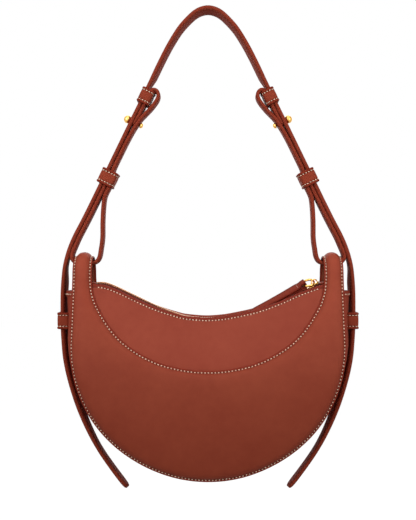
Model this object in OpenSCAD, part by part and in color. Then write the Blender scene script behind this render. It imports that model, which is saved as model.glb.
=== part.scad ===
// Half moon shoulder bag in padded leather, hanging from its strap.
// The origin is the underside of the strap where it lies on the shoulder.
// +Z is up and the front of the bag faces -Y.

/* [Bag] */
// Radius of the round lower body
body_r = 135; // [125:1:150]
// Height from the middle of the round body up to the underside of the strap
hang_drop = 336.6; // [310:1:380]
// Width of the bag at the seams of its gusset
gusset_w = 60; // [50:1:76]
// How far each face swells past its seams
face_swell = 4; // [0:0.5:8]
// Gap between the two faces at the mouth
mouth_gap = 32; // [30:1:38]
// How far the gusset bulges at the bottom of the bag
bottom_bulge = 2; // [0:0.5:5]
// Height of the gusset's open top edge above the middle of the body
gusset_top_h = 50.5; // [40:0.5:52]

/* [Leather] */
// Thickness of the leather of the faces
panel_t = 1.6; // [1.2:0.1:2]
// Thickness of the leather of the padded crescents
crescent_t = 1.6; // [1.2:0.1:2]
// Thickness of the gusset leather
gusset_t = 1.6; // [1.2:0.1:2]
// Thickness of the lining
lining_t = 0.8; // [0.6:0.1:1]
// Gap between layers of leather and lining
layer_gap = 0.4; // [0.3:0.05:0.5]

/* [Padded crescents] */
// Radius of the curved inner edge
crescent_r = 124; // [116:1:132]
// Width of the crescent at the bottom of the bag
crescent_w = 107.4; // [95:0.5:115]
// Width of the arms at their top
arm_w = 19.5; // [17:0.5:21]
// Height of the arms' turning centre above the middle of the body
arm_h = 68; // [65:0.5:72]
// Width of the flat stitched margins
margin_w = 3; // [2.5:0.25:4]
// Height of the padding
pad_h = 4; // [2:0.25:5]

/* [Zip] */
// Radius of the curve that the zip follows
zip_r = 196; // [190:1:204]
// Height of the zip's lowest point above the middle of the body
zip_low = 24; // [22:0.2:26]
// Half the angle that the zip spans, in degrees
zip_span = 35.3; // [34:0.1:36]
// Width of one row of teeth
tooth_w = 2.6; // [2:0.1:3]
// Thickness of the teeth
tooth_t = 2.6; // [2:0.1:3]
// Distance between teeth
tooth_pitch = 4; // [3.5:0.5:6]
// Length of the slider
slider_l = 14; // [12:0.5:16]
// Width of the slider
slider_w = 10; // [9:0.5:12]
// Radius of the pull ring
ring_r = 6; // [5.5:0.25:7]
// Thickness of the pull ring's wire
ring_wire = 1.8; // [1.4:0.1:2]
// Length of the leather pull tab
tab_l = 62; // [50:1:64]
// Width of the leather pull tab
tab_w = 12; // [10:0.5:14]
// Thickness of the folded pull tab
tab_t = 2.8; // [2:0.1:3.2]

/* [Straps] */
// Width of the shoulder strap
strap_w = 18; // [15:0.5:20]
// Width of the shoulder strap where it lies on the shoulder
shoulder_w = 21; // [18:0.5:26]
// Thickness of the shoulder strap
strap_t = 3.9; // [3:0.1:4.2]
// Thickness of the loop straps
loop_t = 3.7; // [3:0.1:4]
// Gap between straps that lie side by side
strap_gap = 0.4; // [0.3:0.05:0.6]
// Sideways distance from the round body to the middle of the hanging tails
tail_stand = 12; // [11.5:0.25:14]

/* [Keepers] */
// Thickness of a keeper's wall
keeper_t = 2.1; // [1.6:0.1:2.4]
// Length of the keepers along the straps
keeper_l = 16; // [12:0.5:18]
// Clearance between a keeper and its straps
keeper_clear = 0.35; // [0.3:0.05:0.6]
// Height of the side keepers' middle above the middle of the body
side_keeper_h = 21; // [18:0.5:24]

/* [Studs] */
// Radius of a stud's ball
stud_r = 3.9; // [3.2:0.1:4.5]
// Radius of a stud's post
post_r = 1.6; // [1.2:0.1:2]
// Radius of the dome behind the straps
dome_r = 2.9; // [2.4:0.1:3.4]

/* [Hidden] */
$fn = 48;

// Colours of leather, edges, lining and brass
tan_leather = [0.60, 0.28, 0.21];
dark_leather = [0.50, 0.21, 0.15];
lining_brown = [0.42, 0.30, 0.24];
pad_cream = [0.85, 0.82, 0.75];
brass = [0.86, 0.68, 0.36];

// Overrun of a cut past the piece it cuts
over = 1;

// Depths of the faces
rim_half = gusset_w / 2;
mouth_half = mouth_gap / 2 + panel_t;
// The faces start to lean in this far below the middle of the body, as a share of its radius
lean_start = body_r * 0.3;
lean_shape_share = 1.6;

// Zip and mouth: the zip follows an arc as far as the slider runs. Away from it the leather holds
// it higher, and it flattens at both arms. Shares of the body's radius, along and up.
zip_centre_z = zip_low + zip_r;
rise_shares = [[-0.88, -0.03], [-0.859, -0.018], [-0.821, 0.014], [-0.783, 0.04], [-0.738, 0.056],
    [-0.663, 0.0645], [-0.587, 0.0637], [-0.512, 0.0585], [-0.437, 0.048], [-0.361, 0.035],
    [-0.249, 0.017], [-0.185, 0.005], [-0.119, 0.0015], [-0.05, 0], [0.84, 0], [0.874, -0.026]];
// Height of the mouth's edges over the zip
lip_shares = [[-0.859, 0.0015], [-0.821, -0.0037], [-0.783, -0.008], [-0.738, -0.0067],
    [-0.663, -0.0045], [-0.512, -0.0037], [-0.437, -0.0015], [-0.361, 0.0037], [-0.249, 0.011],
    [-0.119, 0.0178], [0, 0.017], [0.119, 0.0211], [0.237, 0.0281], [0.36, 0.03], [0.482, 0.0356],
    [0.606, 0.037], [0.667, 0.0355], [0.73, 0.0252], [0.766, 0.0163], [0.815, 0.0019], [0.84, -0.008]];
arm_taper = 1.3;
arm_out_x = body_r - arm_taper;
arm_in_x = arm_out_x - arm_w;

// Crescent: angle where its inner edge leaves the arc for the arm, and the shares of its run
crescent_turn = 57;
crescent_rise = crescent_r + crescent_w - body_r;
round_share = 0.72;
inner_share = 0.8;
arm_curve_share = 2.5;
pad_edge = margin_w * 0.15;
pad_run = 0.985;
core_fill_share = 0.9;

// Arches and the saddles of the loop straps
arch_r = mouth_half;
saddle_out_r = mouth_gap / 2 - strap_gap;
saddle_in_r = saddle_out_r - loop_t;
hinge_z = arm_h - hang_drop;

// Strap routes, hand-chosen, as shares of the side distance and of the drop to the arches
side_x = body_r + tail_stand;
hinge_drop = hang_drop - arm_h;
shoulder_shares = [[0, 0.0073], [-0.054, 0.0011], [-0.098, -0.0127], [-0.143, -0.0357],
    [-0.177, -0.056], [-0.208, -0.078], [-0.259, -0.123], [-0.306, -0.171],
    [-0.356, -0.227], [-0.4075, -0.2867], [-0.483, -0.3724]];
// The strap runs straight between these two points, through both keepers
straight_shares = [[-0.4075, -0.2867], [-0.803, -0.7327]];
arm_side_shares = [[-0.8605, -0.7956], [-0.915, -0.8525], [-0.9544, -0.9047],
    [-0.9796, -0.955], [-0.992, -1]];
tail_shares = [[-1.0885, 0.385], [-1.0896, 0.26], [-1.0889, 0.13],
    [-1.083, 0.015], [-1.0726, -0.104], [-1.0504, -0.222], [-1.0185, -0.341], [-0.98, -0.459],
    [-0.9333, -0.574], [-0.8756, -0.693], [-0.8074, -0.811], [-0.7259, -0.93],
    [-0.637, -1.048], [-0.6037, -1.087]];
upper_loop_shares = [[-0.388, -0.301], [-0.3646, -0.3], [-0.3463, -0.3075],
    [-0.3395, -0.3202], [-0.3483, -0.3369], [-0.3714, -0.3552], [-0.4028, -0.376]];
// Shares along the straight run, and of the distance between two straps that lie together
beside_shares = [[0.22, 2.16], [0.258, 1.82], [0.3, 1.63], [0.34, 1.46], [0.39, 1.28],
    [0.47, 1.12], [0.55, 1.06], [0.66, 1.06], [0.7, 1.16], [0.735, 1.52], [0.775, 1.94],
    [0.83, 2.04], [0.9, 2.04]];
// The tongue that the stud holds is pared thin: shares along the run, and of the strap's thickness
tongue_shares = [[0.2, 1], [0.215, 0.98], [0.25, 0.78], [0.29, 0.56], [0.325, 0.4]];
laid_shares = [0.21, 0.17, 0.12, 0.05];
inner_leg_shares = [[-0.719, -0.7323], [-0.7235, -0.7632], [-0.7265, -0.8079],
    [-0.7265, -0.8526], [-0.7327, -0.8861], [-0.7388, -0.9047]];
shoulder_share = 0.285;
steps = 4;
seat_cut_share = 1.28;
foot_share = 0.75;

// Keepers
straight_a = route_point(straight_shares[0]);
straight_b = route_point(straight_shares[1]);
straight_d = (straight_b - straight_a) / norm(straight_b - straight_a);
lay = strap_t / 2 + strap_gap + loop_t / 2;
lower_keeper_at = 0.763;
upper_keeper_at = 0.082;
two_straps = strap_t + strap_gap + loop_t;
three_straps = two_straps + strap_gap + loop_t;
keeper_in_w = strap_w + keeper_clear * 2;
keeper_round = 1.2;

// Studs
stud_share = 0.3;
stud_out = strap_t / 2 + strap_gap;
stud_back = lay * (beside_shares[1].y + beside_shares[2].y) / 2 + loop_t / 2 + strap_gap;
stud_neck = stud_r * 0.4;
dome_share = 0.85;
hole_clear = 0.25;

// Gusset, hems and board
seam_inset = 1.2;
gusset_r = body_r - seam_inset;
panel_r = body_r - seam_inset / 4;
hem_h = 3;
hem_lip = 0.6;
board_t = 1.6;
board_angle = 44;
board_side = 3;
// The gusset bulges out at the top as far as the side keepers that lie on it
side_keeper_x = -tail_shares[2].x * body_r;
side_keeper_half = strap_t / 2 + keeper_clear + keeper_t;
gusset_bulge = side_keeper_x - side_keeper_half - layer_gap - gusset_r;
// Above the keepers it bulges as far as the tails, from this share of its run
ear_share = 0.89;
ear_bulge = side_keeper_x - strap_t / 2 - hem_lip - layer_gap * 2 - gusset_r;

// Facings, tapes and pocket
facing_t = 1.2;
facing_h = 13;
tape_t = 0.8;
tape_fall = 4.5;
zip_end_w = 16;
zip_end_gap = 0.15;
zip_end_angle = 1.7;
pocket_w = 110;
pocket_h = 60;
pocket_top = -8;

// Teeth: shares of a row's width taken by its bar and reached by a tooth, and of the pitch filled
tooth_bar_share = 0.45;
tooth_reach_share = 0.85;
tooth_fill_share = 0.6;

// Slider and pull
neck_t = 1;
plate_t = 1.4;
plate_clear = 0.4;
teeth_stop = 4.6;
slider_angle = zip_span - 1.9;
bridge_l = 8;
bridge_t = 1.4;
bridge_hole_r = ring_wire / 2 + 0.35;
bridge_rise = 0.2;
bridge_x = 2.5;
ring_axis_h = tooth_t / 2 + plate_clear + plate_t + bridge_hole_r + bridge_rise;
// The ring lies level and the tab hangs from it onto the teeth: their angles off the zip's line
ring_rise = 30.4;
tab_rise = 6;
ring_side_l = ring_wire * 2.4;
tab_eye_r = ring_wire / 2 + 1;
// Outline of the tab: shares of its length and of half its width
tab_shares = [[0, 0.42], [0.12, 0.42], [0.24, 1], [0.9, 0.76], [0.97, 0.4], [1, 0]];
tab_neck_w = tab_w * tab_shares[0].y;

function lerp(a, b, t) = a + (b - a) * t;
function clamp(v) = max(0, min(1, v));

// Half the depth of the bag at a point of its face, to the outside of the panel
function arc_z(x) = zip_centre_z - sqrt(zip_r * zip_r - x * x);
function zip_z(x) = arc_z(x) + body_r * lookup(x / body_r, rise_shares);
function mouth_z(x) =
    let (q = max(-arm_in_x, min(arm_in_x, x))) zip_z(q) + body_r * lookup(q / body_r, lip_shares);
function half_depth(x, z) =
    let (
        r = min(1, norm([x, z]) / body_r),
        rim = rim_half + face_swell * (1 - r * r),
        v = clamp((z + lean_start) / (mouth_z(x) + lean_start))
    )
    lerp(rim, mouth_half, pow(v, lean_shape_share));

// Outer and inner edge of the crescent at t, from -1 at one arm's top to 1 at the other
function outer_edge(t) =
    let (a = abs(t), s = sign(t))
    a <= round_share
        ? let (phi = 90 * a / round_share) [s * body_r * sin(phi), -body_r * cos(phi)]
        : let (w = (a - round_share) / (1 - round_share))
            [s * lerp(body_r, arm_out_x, w), arm_h * w];
function inner_arc(phi) = [crescent_r * sin(phi), crescent_rise - crescent_r * cos(phi)];
function inner_edge(t) =
    let (a = abs(t), s = sign(t), e = inner_arc(crescent_turn))
    a <= inner_share
        ? let (p = inner_arc(crescent_turn * a / inner_share)) [s * p.x, p.y]
        : let (w = (a - inner_share) / (1 - inner_share))
            [s * (arm_in_x + (e.x - arm_in_x) * pow(1 - w, arm_curve_share)),
            lerp(e.y, arm_h, w)];

// Height of the crescent's padding across its width, 0 at the margins
pad_shares = [0, 0.04, 0.13, 0.3, 0.5, 0.7, 0.87, 0.96, 1];
function pad_rise(q) = pad_h * pow(max(0, sin(180 * q)), 0.45);
function across(w, q) = (margin_w + (w - 2 * margin_w) * q) / w;
function face_point(p, off) = [p.x, -(half_depth(p.x, p.y) + off), p.y];
function crescent_row(t, out) =
    let (o = outer_edge(t), i = inner_edge(t), w = norm(o - i))
    concat(
        out ? [face_point(o, layer_gap + crescent_t)] : [face_point(o, layer_gap)],
        [for (q = pad_shares) let (p = lerp(o, i, across(w, q)))
            face_point(p, layer_gap + pad_rise(q) + (out ? crescent_t : 0))],
        out ? [face_point(i, layer_gap + crescent_t)] : [face_point(i, layer_gap)]);
function padding_row(t, out) =
    let (o = outer_edge(t), i = inner_edge(t), w = norm(o - i))
    [for (q = pad_shares) if (q > 0 && q < 1) let (p = lerp(o, i, across(w, q)))
        face_point(p, layer_gap * 1.5 + (out ? max(pad_edge, pad_rise(q) - layer_gap * 1.25) : 0))];

// Points of a face from side to side and from the bottom up
function face_grid(r, off, cols, rows, top_drop) =
    [for (i = [0:cols]) let (
        x = r * sin(lerp(-90, 90, i / cols)),
        zb = -sqrt(max(0, r * r - x * x)),
        zt = mouth_z(x) - top_drop)
        [for (j = [0:rows]) face_point([x, lerp(zb, zt, j / rows)], off)]];

// A closed sheet between two grids of points, the first on the outside
module sheet(a, b) {
    n = len(a);
    m = len(a[0]);
    o = n * m;
    outside = [for (i = [0:n - 2], j = [0:m - 2]) let (p = i * m + j)
        each [[p, p + 1, p + m + 1], [p, p + m + 1, p + m]]];
    inside = [for (f = outside) [f[0] + o, f[2] + o, f[1] + o]];
    ends = [for (j = [0:m - 2]) each [
        [j, j + o, j + 1 + o], [j, j + 1 + o, j + 1],
        [o - m + j, o - m + j + 1 + o, o - m + j + o], [o - m + j, o - m + j + 1, o - m + j + 1 + o]]];
    sides = [for (i = [0:n - 2]) let (p = i * m, q = i * m + m - 1) each [
        [p, p + m + o, p + o], [p, p + m, p + m + o],
        [q, q + o, q + m + o], [q, q + m + o, q + m]]];
    polyhedron(concat([for (r = a) each r], [for (r = b) each r]),
        concat(outside, inside, ends, sides));
}

// Moves a piece from the middle of the round body to its place under the strap
module on_bag() {
    translate([0, 0, -hang_drop]) children();
}

module right_of() {
    mirror([1, 0, 0]) children();
}

module back_of() {
    mirror([0, 1, 0]) children();
}

// Strap routes
function route_point(p) = [p.x * side_x, p.y * hinge_drop];
function tail_point(p) = [p.x * side_x / (1 + tail_stand / body_r), p.y * body_r - hang_drop];
function curve_at(p, i, u) =
    let (
        n = len(p), a = p[max(0, i - 1)], b = p[i], c = p[min(n - 1, i + 1)],
        d = p[min(n - 1, i + 2)])
    0.5 * (2 * b + (c - a) * u + (2 * a - 5 * b + 4 * c - d) * u * u
        + (3 * b - a - 3 * c + d) * u * u * u);
function curve(p) = concat(
    [for (i = [0:len(p) - 2], k = [0:steps - 1]) curve_at(p, i, k / steps)], [p[len(p) - 1]]);
function beside(p, d) = [for (i = [0:len(p) - 1])
    let (a = p[max(0, i - 1)], b = p[min(len(p) - 1, i + 1)], t = (b - a) / norm(b - a))
    p[i] + d * [-t.y, t.x]];
function mirrored(p) = [for (i = [len(p) - 1:-1:0]) [-p[i].x, p[i].y]];

// A flat strap that stands on edge across the bag, along a route
module strap(p, t, w) {
    rotate([90, 0, 0]) linear_extrude(w, center = true)
        polygon(concat(beside(p, t / 2), mirror_order(beside(p, -t / 2))));
}
function mirror_order(p) = [for (i = [len(p) - 1:-1:0]) p[i]];

half_route = concat([for (p = shoulder_shares) route_point(p)],
    [for (s = [0.25, 0.5, 0.75, 1]) lerp(straight_a, straight_b, s)],
    [for (p = arm_side_shares) route_point(p)]);
half_strap = curve(half_route);
whole_strap = curve(concat(mirrored(half_route), [for (i = [1:len(half_route) - 1]) half_route[i]]));
at_side = [for (p = half_strap) if (p.y < straight_point(0.6).y) p];
function straight_point(s) = lerp(straight_a, straight_b, s);
function laid(s, d) = straight_point(s) + d * [-straight_d.y, straight_d.x];

// The loop strap: from the stud up through the upper keeper, round its loop, down through the
// lower keeper and to the inside of the arm
leg_foot_z = hinge_z + saddle_out_r * foot_share;
leg_in = [-(arm_in_x - strap_gap * 2 - loop_t / 2 - margin_w / 2), leg_foot_z];
leg_out = [-(arm_out_x + strap_gap * 2 + loop_t / 2 + margin_w / 2), leg_foot_z];
loop_inner = curve(concat(
    [for (s = laid_shares) laid(s, lay)],
    [for (p = upper_loop_shares) route_point(p)],
    [for (p = beside_shares) laid(p.x, lay * p.y)],
    [for (p = inner_leg_shares) route_point(p)],
    [leg_in + [0, loop_t * 1.2], leg_in]));
loop_outer_all = beside(at_side, lay);
loop_outer = concat(
    [for (p = loop_outer_all) if (p.y < laid(0.79, lay).y && p.y > hinge_z + saddle_out_r * 1.7) p],
    [leg_out + [0, loop_t * 2], leg_out]);

module tongue() {
    face = strap_t / 2 + strap_gap;
    rotate([90, 0, 0]) linear_extrude(strap_w, center = true)
        polygon(concat([for (p = tongue_shares) laid(p.x, face)],
            mirror_order([for (p = tongue_shares) laid(p.x, face + loop_t * p.y)])));
}

module saddle() {
    translate([0, 0, hinge_z]) intersection() {
        rotate([0, 90, 0]) difference() {
            cylinder(r = saddle_out_r, h = side_x * 2, center = true);
            cylinder(r = saddle_in_r, h = side_x * 2 + over, center = true);
        }
        translate([leg_out.x, -strap_w / 2, 0])
            cube([leg_in.x - leg_out.x, strap_w, saddle_out_r * 2]);
    }
}

// The tail turns with the bag, so its end is round and the strap's end is cut to clear it
module tail_seat() {
    translate([0, 0, hinge_z]) rotate([0, 90, 0])
        cylinder(r = strap_w / 2 + strap_gap, h = side_x * 3, center = true);
    translate([-side_x * 1.5, -strap_w, hinge_z - strap_w])
        cube([side_x * 3, strap_w * 2, strap_w * seat_cut_share]);
}

module stud_frame() {
    translate([laid(stud_share, 0).x, 0, laid(stud_share, 0).y])
        rotate([0, atan2(straight_d.y, -straight_d.x), 0]) children();
}

module stud_hole() {
    stud_frame() cylinder(r = post_r + hole_clear, h = stud_back * 3, center = true);
}

module shoulder_strap() {
    color(tan_leather) difference() {
        union() {
            strap(whole_strap, strap_t, strap_w);
            strap([for (p = whole_strap) if (p.y > -hinge_drop * shoulder_share) p], strap_t,
                shoulder_w);
        }
        tail_seat();
        stud_hole();
        right_of() stud_hole();
    }
}

module loop_strap() {
    color(tan_leather) difference() {
        union() {
            strap(loop_inner, loop_t, strap_w);
            tongue();
            strap(loop_outer, loop_t, strap_w);
            saddle();
        }
        stud_hole();
    }
}

module stud_ball() {
    color(brass) stud_frame() translate([0, 0, stud_out]) difference() {
        translate([0, 0, stud_neck]) sphere(r = stud_r);
        translate([-stud_r, -stud_r, -stud_r * 2]) cube(stud_r * 2);
    }
}

module stud_post() {
    color(brass) stud_frame() {
        translate([0, 0, -stud_back]) cylinder(r = post_r, h = stud_back + stud_out);
        translate([0, 0, -stud_back]) rotate([180, 0, 0]) intersection() {
            sphere(r = dome_r);
            cylinder(r = dome_r + over, h = dome_r * dome_share);
        }
    }
}

// Keepers: a band of leather round the straps
module round_rect(w, h, r) {
    square([w - 2 * r, h], center = true);
    square([w, h - 2 * r], center = true);
    for (x = [-1, 1], y = [-1, 1])
        translate([x * (w / 2 - r), y * (h / 2 - r)]) circle(r);
}

module keeper_ring(span) {
    linear_extrude(keeper_l, center = true) difference() {
        round_rect(span + 2 * keeper_clear + 2 * keeper_t, keeper_in_w + 2 * keeper_t,
            keeper_round + keeper_t / 2);
        square([span + 2 * keeper_clear, keeper_in_w], center = true);
    }
}

module keeper(at_share, span, extra) {
    shift = (span - strap_t) / 2 + extra;
    c = laid(at_share, shift);
    color(dark_leather) translate([c.x, 0, c.y])
        rotate([0, atan2(straight_d.x, straight_d.y), 0]) keeper_ring(span + extra * 2);
}

module lower_keeper() {
    keeper(lower_keeper_at, three_straps, keeper_clear / 2);
}

module upper_keeper() {
    keeper(upper_keeper_at, two_straps, keeper_clear / 2);
}

// Tail of the strap, through the side keeper
tail_route = curve(concat([route_point(arm_side_shares[3]), route_point(arm_side_shares[4])],
    [for (p = tail_shares) tail_point(p)]));

module tail() {
    color(tan_leather) intersection() {
        strap(tail_route, strap_t, strap_w + over);
        translate([0, 0, hinge_z]) rotate([0, 90, 0])
            linear_extrude(side_x * 3, center = true) {
                circle(strap_w / 2);
                translate([0, -strap_w / 2]) square([hang_drop, strap_w]);
            }
    }
}

module side_keeper() {
    color(dark_leather) translate([-side_keeper_x, 0, side_keeper_h - hang_drop])
        linear_extrude(keeper_l + keeper_t, center = true) difference() {
            round_rect(strap_t + 2 * keeper_clear + 2 * keeper_t, keeper_in_w + 2 * keeper_t,
                keeper_round + keeper_t / 2);
            square([strap_t + 2 * keeper_clear, keeper_in_w], center = true);
        }
}

// Padded crescent
crescent_stations = [for (i = [-13:13]) i / 13];

module front_crescent() {
    color(tan_leather) on_bag() sheet(
        [for (t = crescent_stations) crescent_row(t, true)],
        [for (t = crescent_stations) crescent_row(t, false)]);
}

module front_padding() {
    color(pad_cream) on_bag() sheet(
        [for (t = crescent_stations) padding_row(max(-pad_run, min(pad_run, t)), true)],
        [for (t = crescent_stations) padding_row(max(-pad_run, min(pad_run, t)), false)]);
}

// The arms turn over the loop straps as half rings
module arch_sweep() {
    translate([0, 0, hinge_z]) rotate([0, 90, 0]) rotate([0, 0, 90])
        rotate_extrude(angle = 180) children();
}

function arch_profile(off) = [for (q = pad_shares)
    [arch_r + layer_gap + off + pad_rise(q), across(arm_w, q) * arm_w]];

module arch() {
    color(tan_leather) translate([-arm_out_x, 0, 0]) arch_sweep() polygon(concat(
        [[arch_r - panel_t, 0], [arch_r + layer_gap + crescent_t, 0]], arch_profile(crescent_t),
        [[arch_r + layer_gap + crescent_t, arm_w], [arch_r - panel_t, arm_w],
        [arch_r - panel_t, arm_w - margin_w], [arch_r + layer_gap, arm_w - margin_w]],
        mirror_order(arch_profile(0)),
        [[arch_r + layer_gap, margin_w], [arch_r - panel_t, margin_w]]));
}

module arch_core() {
    color(pad_cream) translate([-arm_out_x, 0, 0]) arch_sweep() polygon(concat(
        [[arch_r - panel_t, margin_w + layer_gap]],
        [for (q = pad_shares) if (q > 0 && q < 1)
            [arch_r + pad_rise(q) * core_fill_share, across(arm_w, q) * arm_w]],
        [[arch_r - panel_t, arm_w - margin_w - layer_gap]]));
}

// Faces, gusset and lining
module front_panel() {
    color(dark_leather) on_bag() sheet(
        face_grid(panel_r, 0, 26, 10, 0),
        face_grid(panel_r, -panel_t, 26, 10, 0));
}

function side_at(a, r) = a <= round_share
    ? let (phi = 90 * a / round_share) [r * sin(phi), -r * cos(phi)]
    : [r, gusset_top_h * (a - round_share) / (1 - round_share)];
function bulge_at(a) = lerp(bottom_bulge, gusset_bulge, pow(min(1, a / round_share), 2))
    + (ear_bulge - gusset_bulge) * clamp((a - ear_share) / (1 - ear_share));
function gusset_row(t, inset, side_inset) =
    let (
        a = abs(t), s = sign(t) == 0 ? 1 : sign(t), p = side_at(a, gusset_r - inset),
        n = a <= round_share ? p / norm(p) : [1, 0],
        w = half_depth(p.x, p.y) - side_inset)
    [for (k = [-4:4]) let (y = k / 4, b = bulge_at(a) * (1 - y * y))
        [s * (p.x + n.x * b), y * w, p.y + n.y * b]];
gusset_stations = [for (i = [-24:24]) i / 24];

module gusset() {
    color(dark_leather) on_bag() sheet(
        [for (t = gusset_stations) gusset_row(t, 0, panel_t + layer_gap)],
        [for (t = gusset_stations) gusset_row(t, gusset_t, panel_t + layer_gap)]);
}

function hem_row(h, inset) =
    [for (p = gusset_row(-1, inset, panel_t + layer_gap * 4)) p + [0, 0, h]];
module gusset_hem() {
    color(dark_leather) on_bag() sheet(
        [for (h = [layer_gap + hem_h, layer_gap]) hem_row(h, -hem_lip)],
        [for (h = [layer_gap + hem_h, layer_gap]) hem_row(h, gusset_t + hem_lip)]);
}

module base_board() {
    color(pad_cream) on_bag() sheet(
        [for (t = gusset_stations) gusset_row(t * board_angle / 90 * round_share,
            gusset_t + layer_gap, board_side + panel_t)],
        [for (t = gusset_stations) gusset_row(t * board_angle / 90 * round_share,
            gusset_t + layer_gap + board_t, board_side + panel_t)]);
}

lining_in = panel_t + layer_gap;
lining_r = gusset_r - gusset_t - board_t - layer_gap * 2;
module front_lining() {
    color(lining_brown) on_bag() sheet(
        face_grid(lining_r, -lining_in, 18, 10, facing_h + layer_gap * 2),
        face_grid(lining_r, -lining_in - lining_t, 18, 10, facing_h + layer_gap * 2));
}

module gusset_lining() {
    color(lining_brown) on_bag() sheet(
        [for (t = gusset_stations) gusset_row(t, gusset_t + board_t + layer_gap * 2,
            lining_in + lining_t + layer_gap)],
        [for (t = gusset_stations) gusset_row(t, gusset_t + board_t + layer_gap * 2 + lining_t,
            lining_in + lining_t + layer_gap)]);
}

pocket_in = lining_in + lining_t + layer_gap * 2;
function pocket_grid(off) = [for (i = [0:8]) [for (j = [0:6])
    face_point([lerp(-pocket_w / 2, pocket_w / 2, i / 8),
        lerp(pocket_top - pocket_h, pocket_top, j / 6)], off)]];
module slip_pocket() {
    color(dark_leather) on_bag() back_of()
        sheet(pocket_grid(-pocket_in), pocket_grid(-pocket_in - lining_t));
}

facing_x = arm_in_x + arm_w * 0.5;
function facing_grid(off) = [for (i = [0:26]) let (x = facing_x * sin(lerp(-90, 90, i / 26)))
    [for (j = [0:2]) face_point([x, mouth_z(x) - facing_h * (1 - j / 2)], off)]];
module front_facing() {
    color(dark_leather) on_bag() sheet(
        facing_grid(-panel_t - layer_gap), facing_grid(-panel_t - layer_gap - facing_t));
}

// Zip: points at an angle of its arc, at a depth towards the front and a height over its middle
function zip_at(a) = let (x = zip_r * sin(a)) [x, zip_z(x)];
function zip_slope(a) = let (p = zip_at(a - 0.5), q = zip_at(a + 0.5)) atan2(q.y - p.y, q.x - p.x);
function zip_point(a, y, h) =
    let (p = zip_at(a), s = zip_slope(a)) [p.x - h * sin(s), -y, p.y + h * cos(s)];
module zip_bar(a, b, n, y1, h1, y2, h2, t) {
    angles = [for (i = [0:n]) lerp(a, b, i / n)];
    on_bag() sheet([for (g = angles) [zip_point(g, y1, h1), zip_point(g, y2, h2)]],
        [for (g = angles) [zip_point(g, y1, h1 - t), zip_point(g, y2, h2 - t)]]);
}

tape_edge = mouth_half - panel_t - layer_gap * 2 - facing_t;
module front_zip_tape() {
    color(lining_brown) zip_bar(-zip_span, zip_span, 60, tape_edge, -tape_fall,
        tooth_w + layer_gap, tape_t / 2, tape_t);
}

teeth_end = slider_angle - asin(teeth_stop / zip_r) * 2;
module front_teeth() {
    color(brass) {
        zip_bar(-zip_span, teeth_end, 60, tooth_w, tooth_t / 4,
            tooth_w * (1 - tooth_bar_share), tooth_t / 4, tooth_t / 2);
        run = (teeth_end + zip_span) * PI / 180 * zip_r;
        n = floor(run / tooth_pitch);
        for (i = [0.5:1:n]) on_bag() at_zip(-zip_span + (teeth_end + zip_span) * i / n)
            translate([-tooth_pitch * tooth_fill_share / 2, -tooth_w * tooth_reach_share, -tooth_t / 2])
                cube([tooth_pitch * tooth_fill_share, tooth_w * tooth_reach_share - layer_gap, tooth_t]);
    }
}

module at_zip(a) {
    translate([zip_at(a).x, 0, zip_at(a).y]) rotate([0, -zip_slope(a), 0]) children();
}

module zip_end(side) {
    color(dark_leather) zip_bar(side * (zip_span + zip_end_gap), side * (zip_span + zip_end_angle), 2,
        -side * zip_end_w / 2, tooth_t / 2, side * zip_end_w / 2, tooth_t / 2, tooth_t);
}

module zip_slider() {
    plate_z = tooth_t / 2 + plate_clear;
    color(brass) on_bag() at_zip(slider_angle) {
        for (s = [-1, 1]) translate([0, 0, s * (plate_z + plate_t / 2)])
            linear_extrude(plate_t, center = true) round_rect(slider_l, slider_w, slider_w / 4);
        translate([slider_l / 2 - neck_t * 4.5, -neck_t / 2, -plate_z - plate_t / 2])
            cube([neck_t * 3, neck_t, plate_z * 2 + plate_t]);
        translate([bridge_x, 0, plate_z + plate_t]) rotate([90, 0, 0])
            linear_extrude(bridge_t * 2, center = true) difference() {
                translate([-bridge_l / 2, -plate_t / 2])
                    square([bridge_l, plate_t / 2 + bridge_rise + bridge_hole_r * 2 + bridge_t]);
                translate([0, bridge_rise + bridge_hole_r]) circle(bridge_hole_r);
            }
    }
}

// Frame at the ring's bar, with +X towards the ring's far end
module at_pull() {
    on_bag() at_zip(slider_angle) translate([bridge_x, 0, ring_axis_h])
        rotate([0, 180 + ring_rise, 0]) children();
}

module pull_ring() {
    color(brass) at_pull() {
        rotate([90, 0, 0]) cylinder(r = ring_wire / 2, h = ring_r * 2, center = true);
        for (s = [-1, 1]) translate([0, s * ring_r, 0]) rotate([0, 90, 0])
            cylinder(r = ring_wire / 2, h = ring_side_l);
        for (s = [-1, 1]) translate([0, s * ring_r, 0]) sphere(r = ring_wire / 2);
        translate([ring_side_l, 0, 0]) rotate([0, 0, -90]) rotate_extrude(angle = 180)
            translate([ring_r, 0]) circle(ring_wire / 2);
    }
}

tab_eye_x = ring_r + ring_side_l;
tab_eye_out = tab_eye_r + tab_t / 2;
module pull_tab() {
    color(tan_leather) at_pull() translate([tab_eye_x, 0, 0])
        rotate([0, tab_rise - ring_rise, 0]) difference() {
            union() {
                rotate([90, 0, 0]) cylinder(r = tab_eye_out, h = tab_neck_w, center = true);
                linear_extrude(tab_t, center = true) polygon(concat(
                    [for (p = tab_shares) [p.x * tab_l, p.y * tab_w / 2]], mirror_order(
                    [for (p = tab_shares) if (p.y > 0) [p.x * tab_l, -p.y * tab_w / 2]])));
            }
            rotate([90, 0, 0]) cylinder(r = tab_eye_r, h = tab_neck_w + over, center = true);
        }
}

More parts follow.
